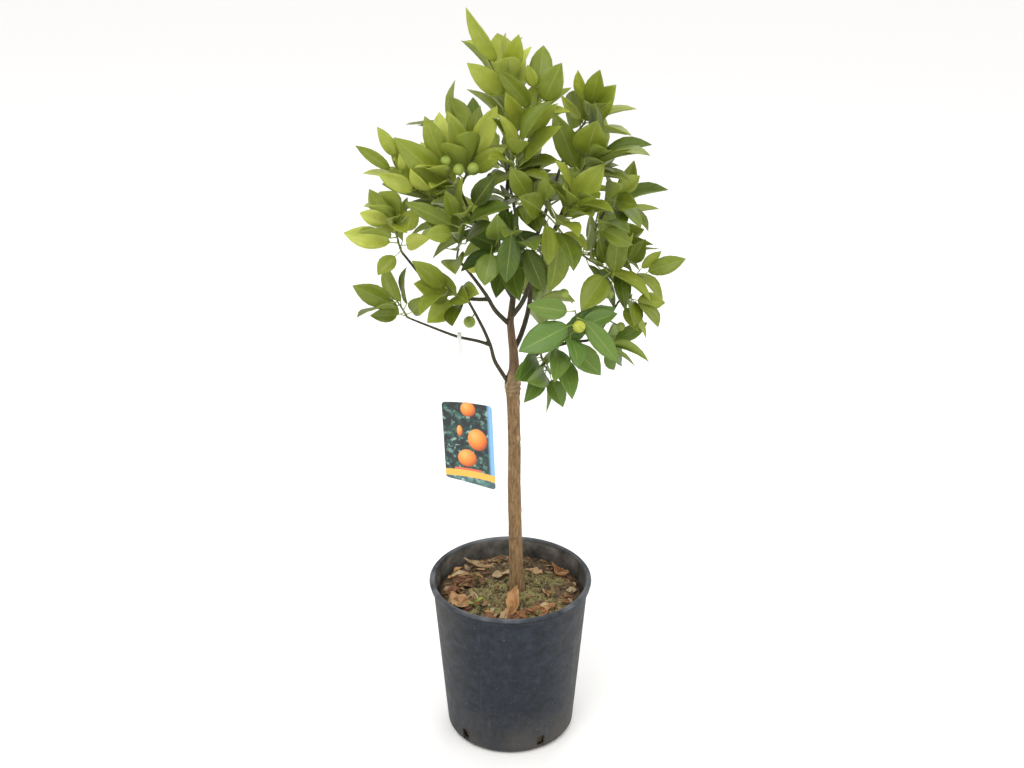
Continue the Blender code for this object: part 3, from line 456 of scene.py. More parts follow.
wood = {
    "voxel": 0.00095, "cutBelow": 0.196, "swell": 0.0001, "graft": 0.522, "fissures": 0.0005,
    # the height of each ring scar, and how far it stands out
    "scars": ((0.510, 0.0006), (0.5165, 0.0008), (0.5235, 0.0010), (0.531, 0.0006), (0.446, 0.0004),
              (0.385, 0.0003), (0.300, 0.0003)),
    # where each knot is, how far it stands out and how wide it is
    "knots": ((-0.005, -0.003, 0.525, 0.0034, 0.0085), (-0.004, -0.006, 0.537, 0.0022, 0.0060),
              (0.012, -0.004, 0.531, 0.0014, 0.0060), (0.012, -0.005, 0.497, 0.0012, 0.0048),
              (0.011, -0.007, 0.448, 0.0014, 0.0040), (-0.004, -0.006, 0.404, 0.0010, 0.0045),
              (0.013, -0.002, 0.338, 0.0010, 0.0048)),
}
branchNames = sorted(name for name in cadNodes if name.startswith("branch_"))


def barkMaterial():
    # citrus bark: dry and matt, tan and fissured low down, smoother above the graft, olive on thin wood
    made, shader, add = newMaterial("citrusBark", {"Roughness": 0.82, "IOR": 1.4})
    place = add("TexCoord").node.outputs["Object"]
    z = add("SeparateXYZ", place).node.outputs["Z"]
    onBranch, crack, scar = add("SeparateColor", add("Attribute", attribute_name="barkMix")).node.outputs
    # fibres 2 mm wide that run up the stem, and blotches of 1.5 cm
    fibre = add("TexNoise", add("Mapping", {"Vector": place, "Scale": (1, 1, 0.16)}), 420, 6, 0.7)
    blotch = add("TexNoise", add("Mapping", {"Vector": place, "Scale": (1, 1, 0.4)}), 70, 4, 0.6)
    lower = add("ValToRGB", fibre,
                stops=((0.26, "#564029"), (0.44, "#7a6040"), (0.6, "#937651"), (0.78, "#b09671")))
    upper = add("ValToRGB", fibre, stops=((0.3, "#4f3d2d"), (0.52, "#735a43"), (0.75, "#917860")))
    thin = add("ValToRGB", fibre, stops=((0.3, "#2c2a1f"), (0.55, "#474230"), (0.8, "#6b6448")))
    rise = add("MapRange", z, wood["graft"] - 0.02, wood["graft"] + 0.012)
    colour = add("Mix", rise, lower, upper)
    lichen = add("MapRange", blotch, 0.5, 0.75, 0.0, 0.45)
    colour = add("Mix", lichen, colour, linear("#7e7048"))
    green = add("Math", onBranch, add("MapRange", z, 0.59, 0.66), operation="MAXIMUM")
    colour = add("Mix", green, colour, thin)
    colour = add("Mix", scar, colour, linear("#b8a07c"))
    # painted shade: the bark is darker in its fissures
    colour = add("Mix", crack, colour, linear("#4a3826"))
    bump = add("Bump", {"Strength": 0.8, "Distance": 0.0008, "Height": fibre})
    fill(shader, {"Base Color": colour, "Normal": bump})
    return made


def buildWood():
    whole = bmesh.new()
    for name in ("trunk", *branchNames):
        whole.from_mesh(cadNodes[name].data)
    data = bpy.data.meshes.new("rawWood")
    bmesh.ops.remove_doubles(whole, verts=whole.verts, dist=2e-5)
    whole.to_mesh(data)
    whole.free()
    holder = bpy.data.objects.new("rawWood", data)
    bpy.context.scene.collection.objects.link(holder)
    remesh = holder.modifiers.new("remesh", "REMESH")
    remesh.mode = "VOXEL"
    remesh.voxel_size = wood["voxel"]
    bpy.context.view_layer.update()
    dense = bpy.data.meshes.new_from_object(holder.evaluated_get(bpy.context.evaluated_depsgraph_get()))
    bpy.data.objects.remove(holder)
    shape = bmesh.new()
    shape.from_mesh(dense)
    bmesh.ops.bisect_plane(shape, geom=[*shape.verts, *shape.edges, *shape.faces],
                           plane_co=(0, 0, wood["cutBelow"]), plane_no=(0, 0, -1), clear_outer=True)
    bmesh.ops.holes_fill(shape, edges=[edge for edge in shape.edges if edge.is_boundary])
    for _ in range(5):
        bmesh.ops.smooth_vert(shape, verts=shape.verts, factor=0.5, use_axis_x=True, use_axis_y=True,
                              use_axis_z=True)
    shape.normal_update()
    trunkTree = searchTree("trunk")
    layer = shape.verts.layers.float_color.new("barkMix")
    moves = []
    for vert in shape.verts:
        x, y, z = vert.co
        onTrunk = trunkTree.find_nearest(vert.co)[3] < 0.0012
        deep = noise.noise(Vector((x * 260, y * 260, z * 42)))
        fine = noise.noise(Vector((x * 700, y * 700, z * 170)))
        move = wood["swell"] + 0.00010 * fine
        crack = 0
        pale = 0
        if onTrunk:
            old = max(0, min(1, (wood["graft"] + 0.01 - z) / 0.03))
            crack = max(0, 1 - abs(deep) / 0.10) * old
            move += (0.00025 * deep - wood["fissures"] * crack) * (0.3 + 0.7 * old)
            around = noise.noise(Vector((x * 90, y * 90, z * 60)))
            ring = sum(size * math.exp(-((z - height - 0.003 * around) / 0.0016) ** 2)
                       for height, size in wood["scars"])
            ring *= max(0.1, 0.7 + 1.2 * deep)
            move += ring
            for kx, ky, kz, size, wide in wood["knots"]:
                near = math.exp(-((vert.co - Vector((kx, ky, kz))).length / wide) ** 2)
                move += size * near * (1 + 0.8 * deep)
                pale = max(pale, near * 0.8 * (deep > -0.1))
            pale = max(pale, min(0.5, ring / 0.002))
        # the second channel carries the fissures' depth, for the painted shade there
        vert[layer] = (0 if onTrunk else 1, crack * 0.6, pale, 1)
        moves.append(vert.normal * move)
    for vert, move in zip(shape.verts, moves):
        vert.co += move
    addPiece(shape, "stemAndBranches", [barkMaterial()], ["trunk", *branchNames])


buildWood()
print("wood is grown")


# Leaves: living blades on green twigs, one piece for each spray, and the seedling

leaf = {
    "thickness": 0.00032, "fullness": 1.04, "wave": 0.05, "droop": 0.03, "segments": (4, 8), "seed": 11,
    "stalkRadius": 0.00085, "ribRadius": 0.00022, "twigReach": 0.0016,
    "shade": 0.13,  # leaves nearer to the stem than this are darker: painted shade inside the crown
    "usual": (0.45, 0.05), "seedling": (0.72, 0.1),
}
# how bright, from 0 for dark to 1 for bright: partly young growth, partly painted light, brighter high up
# and at the left and darker low down, inside and at the back; and how bluish, where a spray stands out
sprayTone = {
    "leaves_top_lead": (0.98, 0), "leaves_top_mid": (0.78, 0), "leaves_top_right": (0.70, 0),
    "leaves_top_back": (0.80, 0),
    "leaves_upper_left": (0.72, 0), "leaves_upper_left_out": (0.78, 0), "leaves_far_left": (0.64, 0),
    "leaves_upper_front": (0.62, 0), "leaves_high_front": (0.66, 0), "leaves_left_cluster": (0.70, 0),
    "leaves_low_right_front": (0.34, 0.75), "leaves_low_hang": (0.36, 0.55),
    "leaves_low_right_side": (0.34, 0.5), "leaves_front_low": (0.42, 0.35),
    "leaves_centre": (0.30, 0.15), "leaves_mid_back": (0.28, 0.1),
    "leaves_low_back": (0.28, 0.2), "leaves_right_high": (0.46, 0.1),
}


def leafMaterial(name, dry=False):
    # a living blade: waxy, lets light through, with pale veins and a duller underside; a dry one: matt
    finish = {"Roughness": 0.75, "IOR": 1.4} if dry else {"Roughness": 0.37, "IOR": 1.45}
    made, shader, add = newMaterial(name, finish)
    place = add("TexCoord").node.outputs["Object"]
    tone, cool, under = add("SeparateColor", add("Attribute", attribute_name="leafMix")).node.outputs
    u, v, _ = add("SeparateXYZ", add("UVMap", uv_map="leafChart")).node.outputs
    across = add("Math", add("Math", u, 0.5, operation="SUBTRACT"), operation="ABSOLUTE")
    # nine pairs of side veins, slanting toward the tip
    slant = add("Math", across, -3.6, add("Math", v, 9.0, operation="MULTIPLY"), operation="MULTIPLY_ADD")
    vein = add("Math", add("Math", slant, operation="FRACT"), 0.5, operation="SUBTRACT")
    side = add("MapRange", add("Math", vein, operation="ABSOLUTE"), 0.0, 0.09, 1.0, 0.0)
    rib = add("MapRange", across, 0.008, 0.03, 1.0, 0.0)
    mottle = add("TexNoise", place, 85, 5, 0.65)
    if dry:
        body = add("ValToRGB", tone,
                   stops=((0.0, "#4b2a20"), (0.35, "#7d4c30"), (0.62, "#b9854f"), (1.0, "#aba07e")))
        worn = add("ValToRGB", mottle, stops=((0.38, "#4a3324"), (0.62, "#b8946a")))
        wear = add("Math", tone, 0.28, 0.14, operation="MULTIPLY_ADD")
        body = add("Mix", wear, body, worn)
        pale, dull = linear("#d2b083"), linear("#b08b60")
    else:
        # the tone carries the blade's age, painted light and painted shade
        young = add("Math", tone, 0.15, operation="SUBTRACT")
        young = add("Math", mottle, 0.30, young, operation="MULTIPLY_ADD")
        body = add("ValToRGB", young, stops=((0.08, "#334407"), (0.3, "#66761c"), (0.5, "#8b9730"),
                                             (0.7, "#aab442"), (0.92, "#d3da66")))
        body = add("Mix", cool, body, linear("#6f9449"))
        pale, dull = linear("#c3cc70"), linear("#9aa94e")
    upper = add("Mix", add("Math", rib, 0.4, operation="MULTIPLY"), body, pale)
    upper = add("Mix", add("Math", side, 0.09, operation="MULTIPLY"), upper, pale)
    lower = add("Mix", 0.6, upper, dull)
    colour = add("Mix", under, upper, lower)
    # freckles of 2 to 4 mm
    freckles = add("ValToRGB", add("TexNoise", place, 210, 3, 0.5), stops=((0.745, 0.0), (0.775, 0.85)))
    colour = add("Mix", freckles, colour, linear("#6b5327"))
    sunk = add("Math", side, -0.5, add("Math", rib, -1.0, operation="MULTIPLY"), operation="MULTIPLY_ADD")
    veins = add("Bump", {"Strength": 0.35, "Distance": 0.0003, "Height": sunk})
    waves = add("Bump", {"Strength": 0.3, "Distance": 0.0006, "Height": mottle, "Normal": veins})
    fill(shader, {"Base Color": colour, "Normal": waves})
    if not dry:
        glow = add("BsdfTranslucent", add("Mix", 0.35, colour, linear("#cbd455")))
        both = add("MixShader", 0.32, shader.outputs[0], glow)
        fill(made.node_tree.nodes["Material Output"], {"Surface": both})
    return made


def grainyMaterial(name, tones, scale, finish, depth):
    # dark, middle and light tones in a fine grain of so many features per metre
    made, shader, add = newMaterial(name, finish)
    grain = add("TexNoise", add("TexCoord").node.outputs["Object"], scale, 4, depth["rough"])
    colour = add("ValToRGB", grain, stops=tuple(zip((0.3, 0.5, depth["light"]), tones)))
    bump = add("Bump", {"Strength": depth["strength"], "Distance": depth["distance"], "Height": grain})
    fill(shader, {"Base Color": colour, "Normal": bump})
    return made


def stemMaterial(name, *tones):
    # young green bark or a leaf stalk: smooth and waxy, with faint streaks of 4 mm
    return grainyMaterial(name, tones, 240, {"Roughness": 0.5, "IOR": 1.42},
                          {"rough": 0.6, "light": 0.7, "strength": 0.4, "distance": 0.0004})


def sharpness(vert):
    # the angle of the surface all round a vertex, which is small at a blade's tip
    return sum(loop.calc_angle() for loop in vert.link_loops)


def ringsFrom(tip, count):
    # the rings of vertices round a leaf, counted from its tip
    seen = {tip}
    rings = [[tip]]
    for _ in range(count):
        fresh = []
        for vert in rings[-1]:
            for edge in vert.link_edges:
                other = edge.other_vert(vert)
                if other not in seen:
                    seen.add(other)
                    fresh.append(other)
        rings.append(fresh)
    return rings


def middleOf(verts):
    return sum((vert.co for vert in verts), Vector()) / len(verts)


def splitRing(ring):
    # the two edges of a blade's cross-section, and the pair on its midrib
    pairs = [(a, b) for k, a in enumerate(ring) for b in ring[k + 1:]]
    edges = max(pairs, key=lambda pair: (pair[0].co - pair[1].co).length)
    return edges, [vert for vert in ring if vert not in edges]


def bladeShape(t):
    return math.sin(math.pi * min(max(t, 0), 1) ** 0.9) ** 0.8


def bladeOutline(t):
    # half width of a real blade, rounder at the stalk than the CAD model's and more pointed at the tip
    return 0.985 * math.sin(math.pi * min(max(t, 0), 1) ** 0.90) ** (0.62 + 0.30 * t * t)


def readLeaf(tip):
    # base, tip, facing and width of a blade of the CAD model, and where its stalk leaves the twig
    rings = ringsFrom(tip, 4)
    edges, pair = splitRing(rings[2])
    rise = middleOf(edges) - middleOf(pair)
    base = middleOf(splitRing(rings[3])[1])
    half = (edges[0].co - edges[1].co).length / 2
    return {"base": base, "tip": tip.co.copy(), "out": rise, "width": 2 * half / bladeShape(0.33),
            "fold": rise.length / half, "stem": middleOf(rings[4]), "rings": rings}


def bladeLine(shape, t, dice):
    # a point on the midrib
    length = (shape["tip"] - shape["base"]).length
    arch = shape.get("arch", 0.07) * length * 4 * t * (1 - t)
    lift = dice["lift"] * length * t * t * (1 - t) * 2
    return shape["base"].lerp(shape["tip"], t) + shape["facing"] * (arch + lift)


def newBlades():
    # an empty mesh with the chart and the tones that a leaf material reads
    mesh = bmesh.new()
    mesh.loops.layers.uv.new("leafChart")
    return mesh, mesh.verts.layers.float_color.new("leafMix")


def growBlade(mesh, shape, dice, tint, layer, segments):
    # a folded, arched blade made from a flat grid
    along = (shape["tip"] - shape["base"]).normalized()
    facing = (shape["out"] - along * shape["out"].dot(along)).normalized()
    shape["facing"] = facing
    across = along.cross(facing)
    grid = bmesh.ops.create_grid(mesh, x_segments=segments[0], y_segments=segments[1], size=0.5,
                                 calc_uvs=True)["verts"]
    for vert in grid:
        s, t = 2 * vert.co.x, vert.co.y + 0.5
        # rows stand closer toward the stalk and the tip
        t = (0.5 - 0.5 * math.cos(math.pi * (0.08 + 0.84 * t)) - 0.0157) / 0.9686
        half = max(shape["width"] / 2 * leaf["fullness"] * bladeOutline(t), 0.0008 * (1 - t) + 0.0002)
        curl = dice["curl"]
        reach = math.sin(abs(s) * curl) / curl if curl > 0.01 else abs(s)
        roll = (1 - math.cos(abs(s) * curl)) / curl if curl > 0.01 else 0
        fold = shape["fold"] * (abs(s) - 0.25 * s * s)
        wave = dice["wave"] * math.sin(t * dice["pitch"] + dice["phase"] + (2 if s > 0 else 0)) * s * s
        twist = dice["twist"] * (t - 0.3)
        side = across * math.cos(twist) + facing * math.sin(twist)
        rise = facing * math.cos(twist) - across * math.sin(twist)
        vert.co = bladeLine(shape, t, dice) + side * half * math.copysign(reach, s)
        vert.co += rise * half * (fold + roll + wave)
        vert[layer] = (*tint, 0, 1)
    faces = facesRound(grid)
    for face in faces:
        face.normal_update()
    if sum(face.normal.dot(facing) for face in faces) < 0:
        bmesh.ops.reverse_faces(mesh, faces=faces)


def thicken(mesh, thickness, layer):
    # gives the blades their thickness below, and marks the lower side
    above = set(mesh.verts)
    bmesh.ops.solidify(mesh, geom=list(mesh.faces), thickness=thickness)
    for vert in mesh.verts:
        if vert not in above:
            vert[layer][2] = 1.0


def readTwig(shape, leaves, woodTree):
    # middle points and radii of a twig, from where it leaves its branch
    shape.verts.index_update()
    shape.verts.ensure_lookup_table()
    blades = {vert for found in leaves for ring in found["rings"][:4] for vert in ring}
    rest = {vert for vert in shape.verts if vert not in blades}
    faces = {frozenset(face.verts) for face in shape.faces}
    near = {vert: {edge.other_vert(vert) for edge in vert.link_edges} & rest for vert in rest}
    rings = {frozenset((a, b, c)) for a in rest for b in near[a] for c in near[a] & near[b]} - faces
    start = min(rest, key=lambda vert: (woodTree.find_nearest(vert.co)[3], vert.index))
    distance = {start: 0.0}
    waiting = [start]
    while waiting:
        vert = min(waiting, key=lambda v: (distance[v], v.index))
        waiting.remove(vert)
        for other in near[vert]:
            far = distance[vert] + (other.co - vert.co).length
            if far < distance.get(other, 1e9) - 1e-9:
                distance[other] = far
                waiting.append(other)
    placed = []
    for places in sorted(sorted(vert.index for vert in ring) for ring in rings):
        trio = [shape.verts[k] for k in places]
        centre = middleOf(trio)
        radius = sum((vert.co - centre).length for vert in trio) / 3
        if radius < 0.0022:
            placed.append((sum(distance[vert] for vert in trio), centre, radius))
    placed.sort(key=lambda item: item[0])
    points = []
    radii = []
    for _, centre, radius in placed:
        if not points or (centre - points[-1]).length > 0.0015:
            points.append(centre)
            radii.append(radius)
    touch = woodTree.find_nearest(points[0])[0]
    inward = (touch - points[0]).normalized()
    return [touch + inward * leaf["twigReach"], *points], [radii[0] * 1.15, *radii]


def buildSprays():
    random.seed(leaf["seed"])
    green = leafMaterial("citrusBlade")
    twigBark = stemMaterial("greenTwigBark", "#3f4322", "#5f6632", "#84893f")
    stalk = stemMaterial("leafStalk", "#6f8236", "#93a548", "#aebb5c")
    woodTree = searchTree("trunk", *branchNames)
    count = 0
    for name in sorted(node for node in cadNodes if node.startswith("leaves_") or node == "seedling"):
        shape = mergedCopy(name)
        leaves = [readLeaf(vert) for vert in shape.verts if sharpness(vert) < math.radians(200)]
        small = name == "seedling"
        mesh, layer = newBlades()
        # young carries the spray's age and its painted light
        young, cool = leaf["seedling"] if small else sprayTone.get(name, leaf["usual"])
        ribs = []
        for found in leaves:
            length = (found["tip"] - found["base"]).length
            # how this blade lifts, curls across, waves along its edge and twists
            dice = {"lift": random.uniform(-1.2, 0.6) * leaf["droop"] * 2,
                    "curl": random.uniform(0.15, 0.9), "wave": random.uniform(0.2, 1) * leaf["wave"],
                    "pitch": random.uniform(9, 14), "phase": random.uniform(0, 6),
                    "twist": random.uniform(-0.5, 0.5)}
            found["fold"] *= random.uniform(0.7, 1.2)
            middle = found["base"].lerp(found["tip"], 0.5)
            # painted shade: blades nearer the stem, inside the crown, are given a darker tone
            depth = max(0, 1 - middle.xy.length / leaf["shade"])
            tone = young + random.uniform(-0.24, 0.20) + (0.12 if length < 0.045 else 0) - 0.22 * depth
            tint = (max(0.02, min(1, tone)), max(0, min(1, cool + random.uniform(-0.12, 0.12))))
            growBlade(mesh, found, dice, tint, layer, leaf["segments"])
            radius = leaf["stalkRadius"] * (0.6 if small else min(1.1, 0.5 + length / 0.11))
            inner = found["stem"].lerp(found["base"], -0.10)
            line = [inner, found["stem"].lerp(found["base"], 0.5), found["base"].lerp(found["tip"], 0.01)]
            sizes = [radius * 1.15, radius * 0.9, radius * 0.8]
            for t in (0.2, 0.45, 0.7, 0.9):
                size = leaf["ribRadius"] + (radius * 0.62 - leaf["ribRadius"]) * (1 - t)
                below = leaf["thickness"] + size * 0.35
                line.append(bladeLine(found, t, dice) - found["facing"] * below)
                sizes.append(size)
            ribs.append((line, sizes))
        thicken(mesh, leaf["thickness"], layer)
        points, radii = readTwig(shape, leaves, soilTree if small else woodTree)
        sizes = [radii[k // 2] for k in range(2 * len(points) - 1)]
        joinMesh(mesh, tubes([(smoothRoute(points, 2), sizes)], 1, 1))
        joinMesh(mesh, tubes(ribs, 0, 2))
        shape.free()
        count += len(leaves)
        addPiece(mesh, name.replace("leaves_", "spray_"), [green, twigBark, stalk], [name])
    print(count, "leaves are out")


buildSprays()


# Fruits: young mandarins, each with its calyx and stalk

fruit = {
    "steps": (28, 18), "green": ("#6f8232", "#8b9c42", "#a3ae50"),
    "turning": ("#98a338", "#bcc046", "#cfc84c"), "calyx": ("#55602a", "#7d8b3c", "#a1a95a"),
}


def peelMaterial(name, *tones):
    # young citrus peel: waxy, soft inside, dimpled by oil glands a bit under a millimetre apart
    made, shader, add = newMaterial(name, {"Roughness": 0.4, "IOR": 1.46, "Subsurface Weight": 0.15,
                                           "Subsurface Scale": 0.002})
    place = add("TexCoord").node.outputs["Object"]
    peel = add("ValToRGB", add("TexNoise", place, 90, 4, 0.55), stops=tuple(zip((0.32, 0.5, 0.7), tones)))
    glands = add("TexVoronoi", place, 1250)
    dots = add("ValToRGB", glands, stops=((0.12, 0.35), (0.3, 0.0)))
    bump = add("Bump", {"Strength": 0.6, "Distance": 0.0003, "Height": glands})
    colour = add("Mix", dots, peel, linear("#5f7a2a"))
    fill(shader, {"Base Color": colour, "Normal": bump})
    return made


def buildFruits():
    green = peelMaterial("youngCitrusPeel", *fruit["green"])
    turning = peelMaterial("turningCitrusPeel", *fruit["turning"])
    cap = stemMaterial("fruitCalyx", *fruit["calyx"])
    for name in sorted(node for node in cadNodes if node.startswith("fruit_")):
        shape = mergedCopy(name)
        verts = list(shape.verts)
        whole = middleOf(verts)
        # the stalk's end is the farthest part of the model
        end = middleOf(sorted(verts, key=lambda vert: -(vert.co - whole).length)[:9])
        axis = (end - whole).normalized()
        along = [(vert.co - end).dot(axis) for vert in verts]
        across = [((vert.co - end) - axis * (vert.co - end).dot(axis)).length for vert in verts]
        radius = max(across)
        centre = end + axis * (min(along) + 0.97 * radius)
        shape.free()
        turn = axis.to_track_quat("Z", "Y").to_matrix().to_4x4()
        mesh = bmesh.new()
        ball = bmesh.ops.create_uvsphere(mesh, u_segments=fruit["steps"][0], v_segments=fruit["steps"][1],
                                         radius=radius)["verts"]
        for vert in ball:
            # faint lobes round the stalk, with a dimple there and one at the far pole
            height = vert.co.z / radius
            lobes = 1 + 0.010 * math.cos(9 * math.atan2(vert.co.y, vert.co.x)) * max(0, height)
            vert.co.x, vert.co.y = vert.co.x * lobes, vert.co.y * lobes
            upper = 0.05 * math.exp(-((1 - height) / 0.05) ** 2) * (height > 0)
            lower = 0.03 * math.exp(-((1 + height) / 0.03) ** 2) * (height < 0)
            vert.co.z = radius * (0.95 * height - upper + lower)
        leafy = bmesh.ops.create_circle(mesh, cap_ends=True, segments=10, radius=radius * 0.28)["verts"]
        for k, vert in enumerate(leafy):
            spread = 1.25 if k % 2 else 0.75
            vert.co.x, vert.co.y = vert.co.x * spread, vert.co.y * spread
            vert.co.z = radius * 0.915
        raised = bmesh.ops.extrude_face_region(mesh, geom=facesRound(leafy))["geom"]
        raised = [item for item in raised if isinstance(item, bmesh.types.BMVert)]
        bmesh.ops.translate(mesh, vec=(0, 0, radius * 0.07), verts=raised)
        capVerts = {*leafy, *raised}
        for face in mesh.faces:
            face.material_index = int(all(vert in capVerts for vert in face.verts))
        bmesh.ops.recalc_face_normals(mesh, faces=mesh.faces)
        bmesh.ops.transform(mesh, matrix=Matrix.Translation(centre) @ turn, verts=mesh.verts)
        line = [centre + axis * radius * 0.9, centre + axis * radius * 1.3, end + axis * 0.0008]
        joinMesh(mesh, tubes([(line, [0.0012, 0.0009, 0.0009])], 1, 1))
        peel = turning if "yellow" in name else green
        addPiece(mesh, name.replace("fruit_", "mandarin_"), [peel, cap], [name])


buildFruits()
print("fruits are set")


# Litter: dry fallen leaves, bark chips, crumbs, moss tufts and root hairs on the soil

litter = {
    "seed": 5,
    # dry tone from dark red-brown to pale tan, curl across in radians
    "tones": {"folded": (0.66, 0.25), "front": (0.48, 0.9), "left_front": (0.74, 0.8),
              "left": (0.02, 1.5), "back_left": (0.97, 1.4), "back_right": (0.42, 1.9)},
    # place, heading, length, width, tone, curl, lift of the tip
    "more": (("flatLeaf", (-0.010, 0.036), 12, 0.034, 0.016, 0.93, 0.25, 0.001),
             ("greyChip", (0.033, 0.044), -30, 0.026, 0.016, 0.80, 0.5, 0.002),
             ("tanBit", (-0.006, -0.064), 60, 0.022, 0.012, 0.85, 0.7, 0.008),
             ("tanStrip", (-0.022, -0.066), 25, 0.026, 0.008, 0.90, 0.9, 0.003),
             ("darkLeaf", (0.024, -0.064), 5, 0.026, 0.014, 0.15, 0.8, 0.005),
             ("orangeShard", (0.053, -0.050), 40, 0.026, 0.012, 0.60, 0.9, 0.006),
             ("brownLeft", (-0.077, -0.010), 60, 0.026, 0.014, 0.22, 1.1, 0.006),
             ("brownUnder", (-0.066, 0.022), 100, 0.026, 0.014, 0.30, 1.0, 0.004),
             ("paleLeft", (-0.071, 0.036), 20, 0.024, 0.012, 0.95, 0.6, 0.003)),
    # how much each dry leaf is puckered
    "pucker": {"tones": 0.0042, "more": 0.0040, "shreds": 0.0025},
    "shreds": 120, "roots": 16, "twigs": 9,
    # small lumps: how many, their size, flatness, how far out, and whether they keep to the moss
    "crumbs": (760, 0.0013, 0.8, 0.095, None), "tufts": (900, 0.0011, 0.7, 0.085, True),
    "chips": (90, 0.0044, 0.22, 0.090, False),
}


def crumple(mesh, size):
    # puckers a dried blade
    for vert in mesh.verts:
        coarse = noise.noise_vector(vert.co * 75)
        fine = noise.noise_vector(vert.co * 260)
        vert.co += coarse * size + fine * size * 0.3


def onSoil(x, y):
    return Vector((x, y, soilTop(x, y) + lumpiness(x, y) + soil["mossHeight"] * mossShare(x, y)))


def acrossSoil(x, y, heading, length):
    # both ends of a thing that lies on the soil
    step = Vector((math.cos(heading), math.sin(heading))) * length / 2
    return onSoil(x - step.x, y - step.y), onSoil(x + step.x, y + step.y)


def buildDryLeaves():
    random.seed(litter["seed"])
    brown = leafMaterial("dryBlade", True)
    for name, (tone, curl) in litter["tones"].items():
        node = "fallen_leaf_" + name
        shape = mergedCopy(node)
        first, last = sorted(sorted(shape.verts, key=sharpness)[:2], key=lambda vert: vert.co.z)
        rings = ringsFrom(first, 3)
        edges, pair = splitRing(rings[3])
        rise = middleOf(edges) - middleOf(pair)
        half = (edges[0].co - edges[1].co).length / 2
        length = (last.co - first.co).length
        found = {"base": first.co.copy(), "tip": last.co.copy(), "out": rise, "width": 2 * half,
                 "fold": rise.length / half * 0.7}
        along = (last.co - first.co).normalized()
        facing = (rise - along * rise.dot(along)).normalized()
        found["arch"] = (middleOf(pair) - (first.co + last.co) / 2).dot(facing) / length
        shape.free()
        mesh, layer = newBlades()
        dice = {"lift": 0, "curl": curl, "wave": 0.16, "pitch": 11, "phase": random.uniform(0, 6),
                "twist": 0.5}
        if name == "folded":
            # this one has closed up along its midrib
            found["fold"] *= 1.8
            found["width"] *= 0.8
        growBlade(mesh, found, dice, (tone, 0), layer, (10, 20))
        crumple(mesh, litter["pucker"]["tones"])
        thicken(mesh, leaf["thickness"], layer)
        addPiece(mesh, "dryLeaf_" + name, [brown], [node])
    for name, (x, y), heading, length, width, tone, curl, lift in litter["more"]:
        mesh, layer = newBlades()
        first, last = acrossSoil(x, y, math.radians(heading), length)
        found = {"base": first + up * 0.0012, "tip": last + up * (0.0012 + lift), "out": up,
                 "width": width, "fold": 0.15, "arch": 0.03}
        dice = {"lift": 0, "curl": curl, "wave": 0.2, "pitch": 9, "phase": random.uniform(0, 6),
                "twist": 0.6}
        growBlade(mesh, found, dice, (tone, 0), layer, (8, 14))
        crumple(mesh, litter["pucker"]["more"])
        thicken(mesh, leaf["thickness"], layer)
        addPiece(mesh, name, [brown])


def buildShreds():
    # torn bits of dry leaf, thickest toward the pot's wall and at its left
    random.seed(litter["seed"] + 2)
    mesh, layer = newBlades()
    made = 0
    while made < litter["shreds"]:
        x, y = random.uniform(-0.09, 0.09), random.uniform(-0.09, 0.09)
        far = math.hypot(x, y)
        wanted = (far / 0.09) ** 3 + (0.45 if x < -0.035 else 0) + (0.3 if y < -0.05 else 0)
        if far > 0.091 or far < 0.03 or random.random() > wanted:
            continue
        made += 1
        turn = random.uniform(0, fullTurn)
        length = random.uniform(0.007, 0.019)
        first, last = acrossSoil(x, y, turn, length)
        facing = (up + noise.noise_vector(Vector((x, y, 0)) * 400)).normalized()
        found = {"base": first + up * random.uniform(0, 0.002),
                 "tip": last + up * random.uniform(0, 0.007),
                 "out": facing, "width": length * random.uniform(0.3, 0.6),
                 "fold": random.uniform(0.1, 0.6), "arch": random.uniform(-0.05, 0.12)}
        dice = {"lift": 0, "curl": random.uniform(0.2, 1.8), "wave": 0.25, "pitch": 9,
                "phase": random.uniform(0, 6), "twist": random.uniform(-1, 1)}
        tone = random.choice((0.05, 0.15, 0.3, 0.45, 0.62, 0.85, 1.0, 1.0))
        growBlade(mesh, found, dice, (tone, 0), layer, (4, 6))
    crumple(mesh, litter["pucker"]["shreds"])
    thicken(mesh, leaf["thickness"], layer)
    addPiece(mesh, "leafShreds", [leafMaterial("dryShred", True)])


def scatter(count, size, flatness, spread, mossy):
    # small lumps strewn over the soil in one mesh
    mesh = bmesh.new()
    made = 0
    while made < count:
        x, y = random.uniform(-0.096, 0.096), random.uniform(-0.096, 0.096)
        if math.hypot(x, y) > spread or math.hypot(x - 0.008, y) < 0.014:
            continue
        if mossy is not None and (mossShare(x, y) > 0.55) != mossy and random.random() < 0.85:
            continue
        made += 1
        scale = size * random.uniform(0.5, 1.4)
        place = Matrix.Translation(onSoil(x, y) + up * scale * flatness * 0.2)
        turn = Matrix.Rotation(random.uniform(0, fullTurn), 4, "Z")
        tip = Matrix.Rotation(random.uniform(-0.4, 0.4), 4, "X")
        stretch = Matrix.Diagonal((scale * random.uniform(0.7, 1.5), scale * random.uniform(0.5, 1),
                                   scale * flatness, 1))
        bmesh.ops.create_icosphere(mesh, subdivisions=1, radius=1, matrix=place @ turn @ tip @ stretch)
    for vert in mesh.verts:
        vert.co += noise.noise_vector(vert.co * 900) * size * 0.25
    return mesh


def crumbMaterial(name, tones, scale):
    # peat, moss, bark or root: dry and matt, its grain 2 to 5 mm, coarser than in life so that it shows
    return grainyMaterial(name, tones, scale, {"Roughness": 0.9, "IOR": 1.35},
                          {"rough": 0.7, "light": 0.72, "strength": 0.7, "distance": 0.0006})


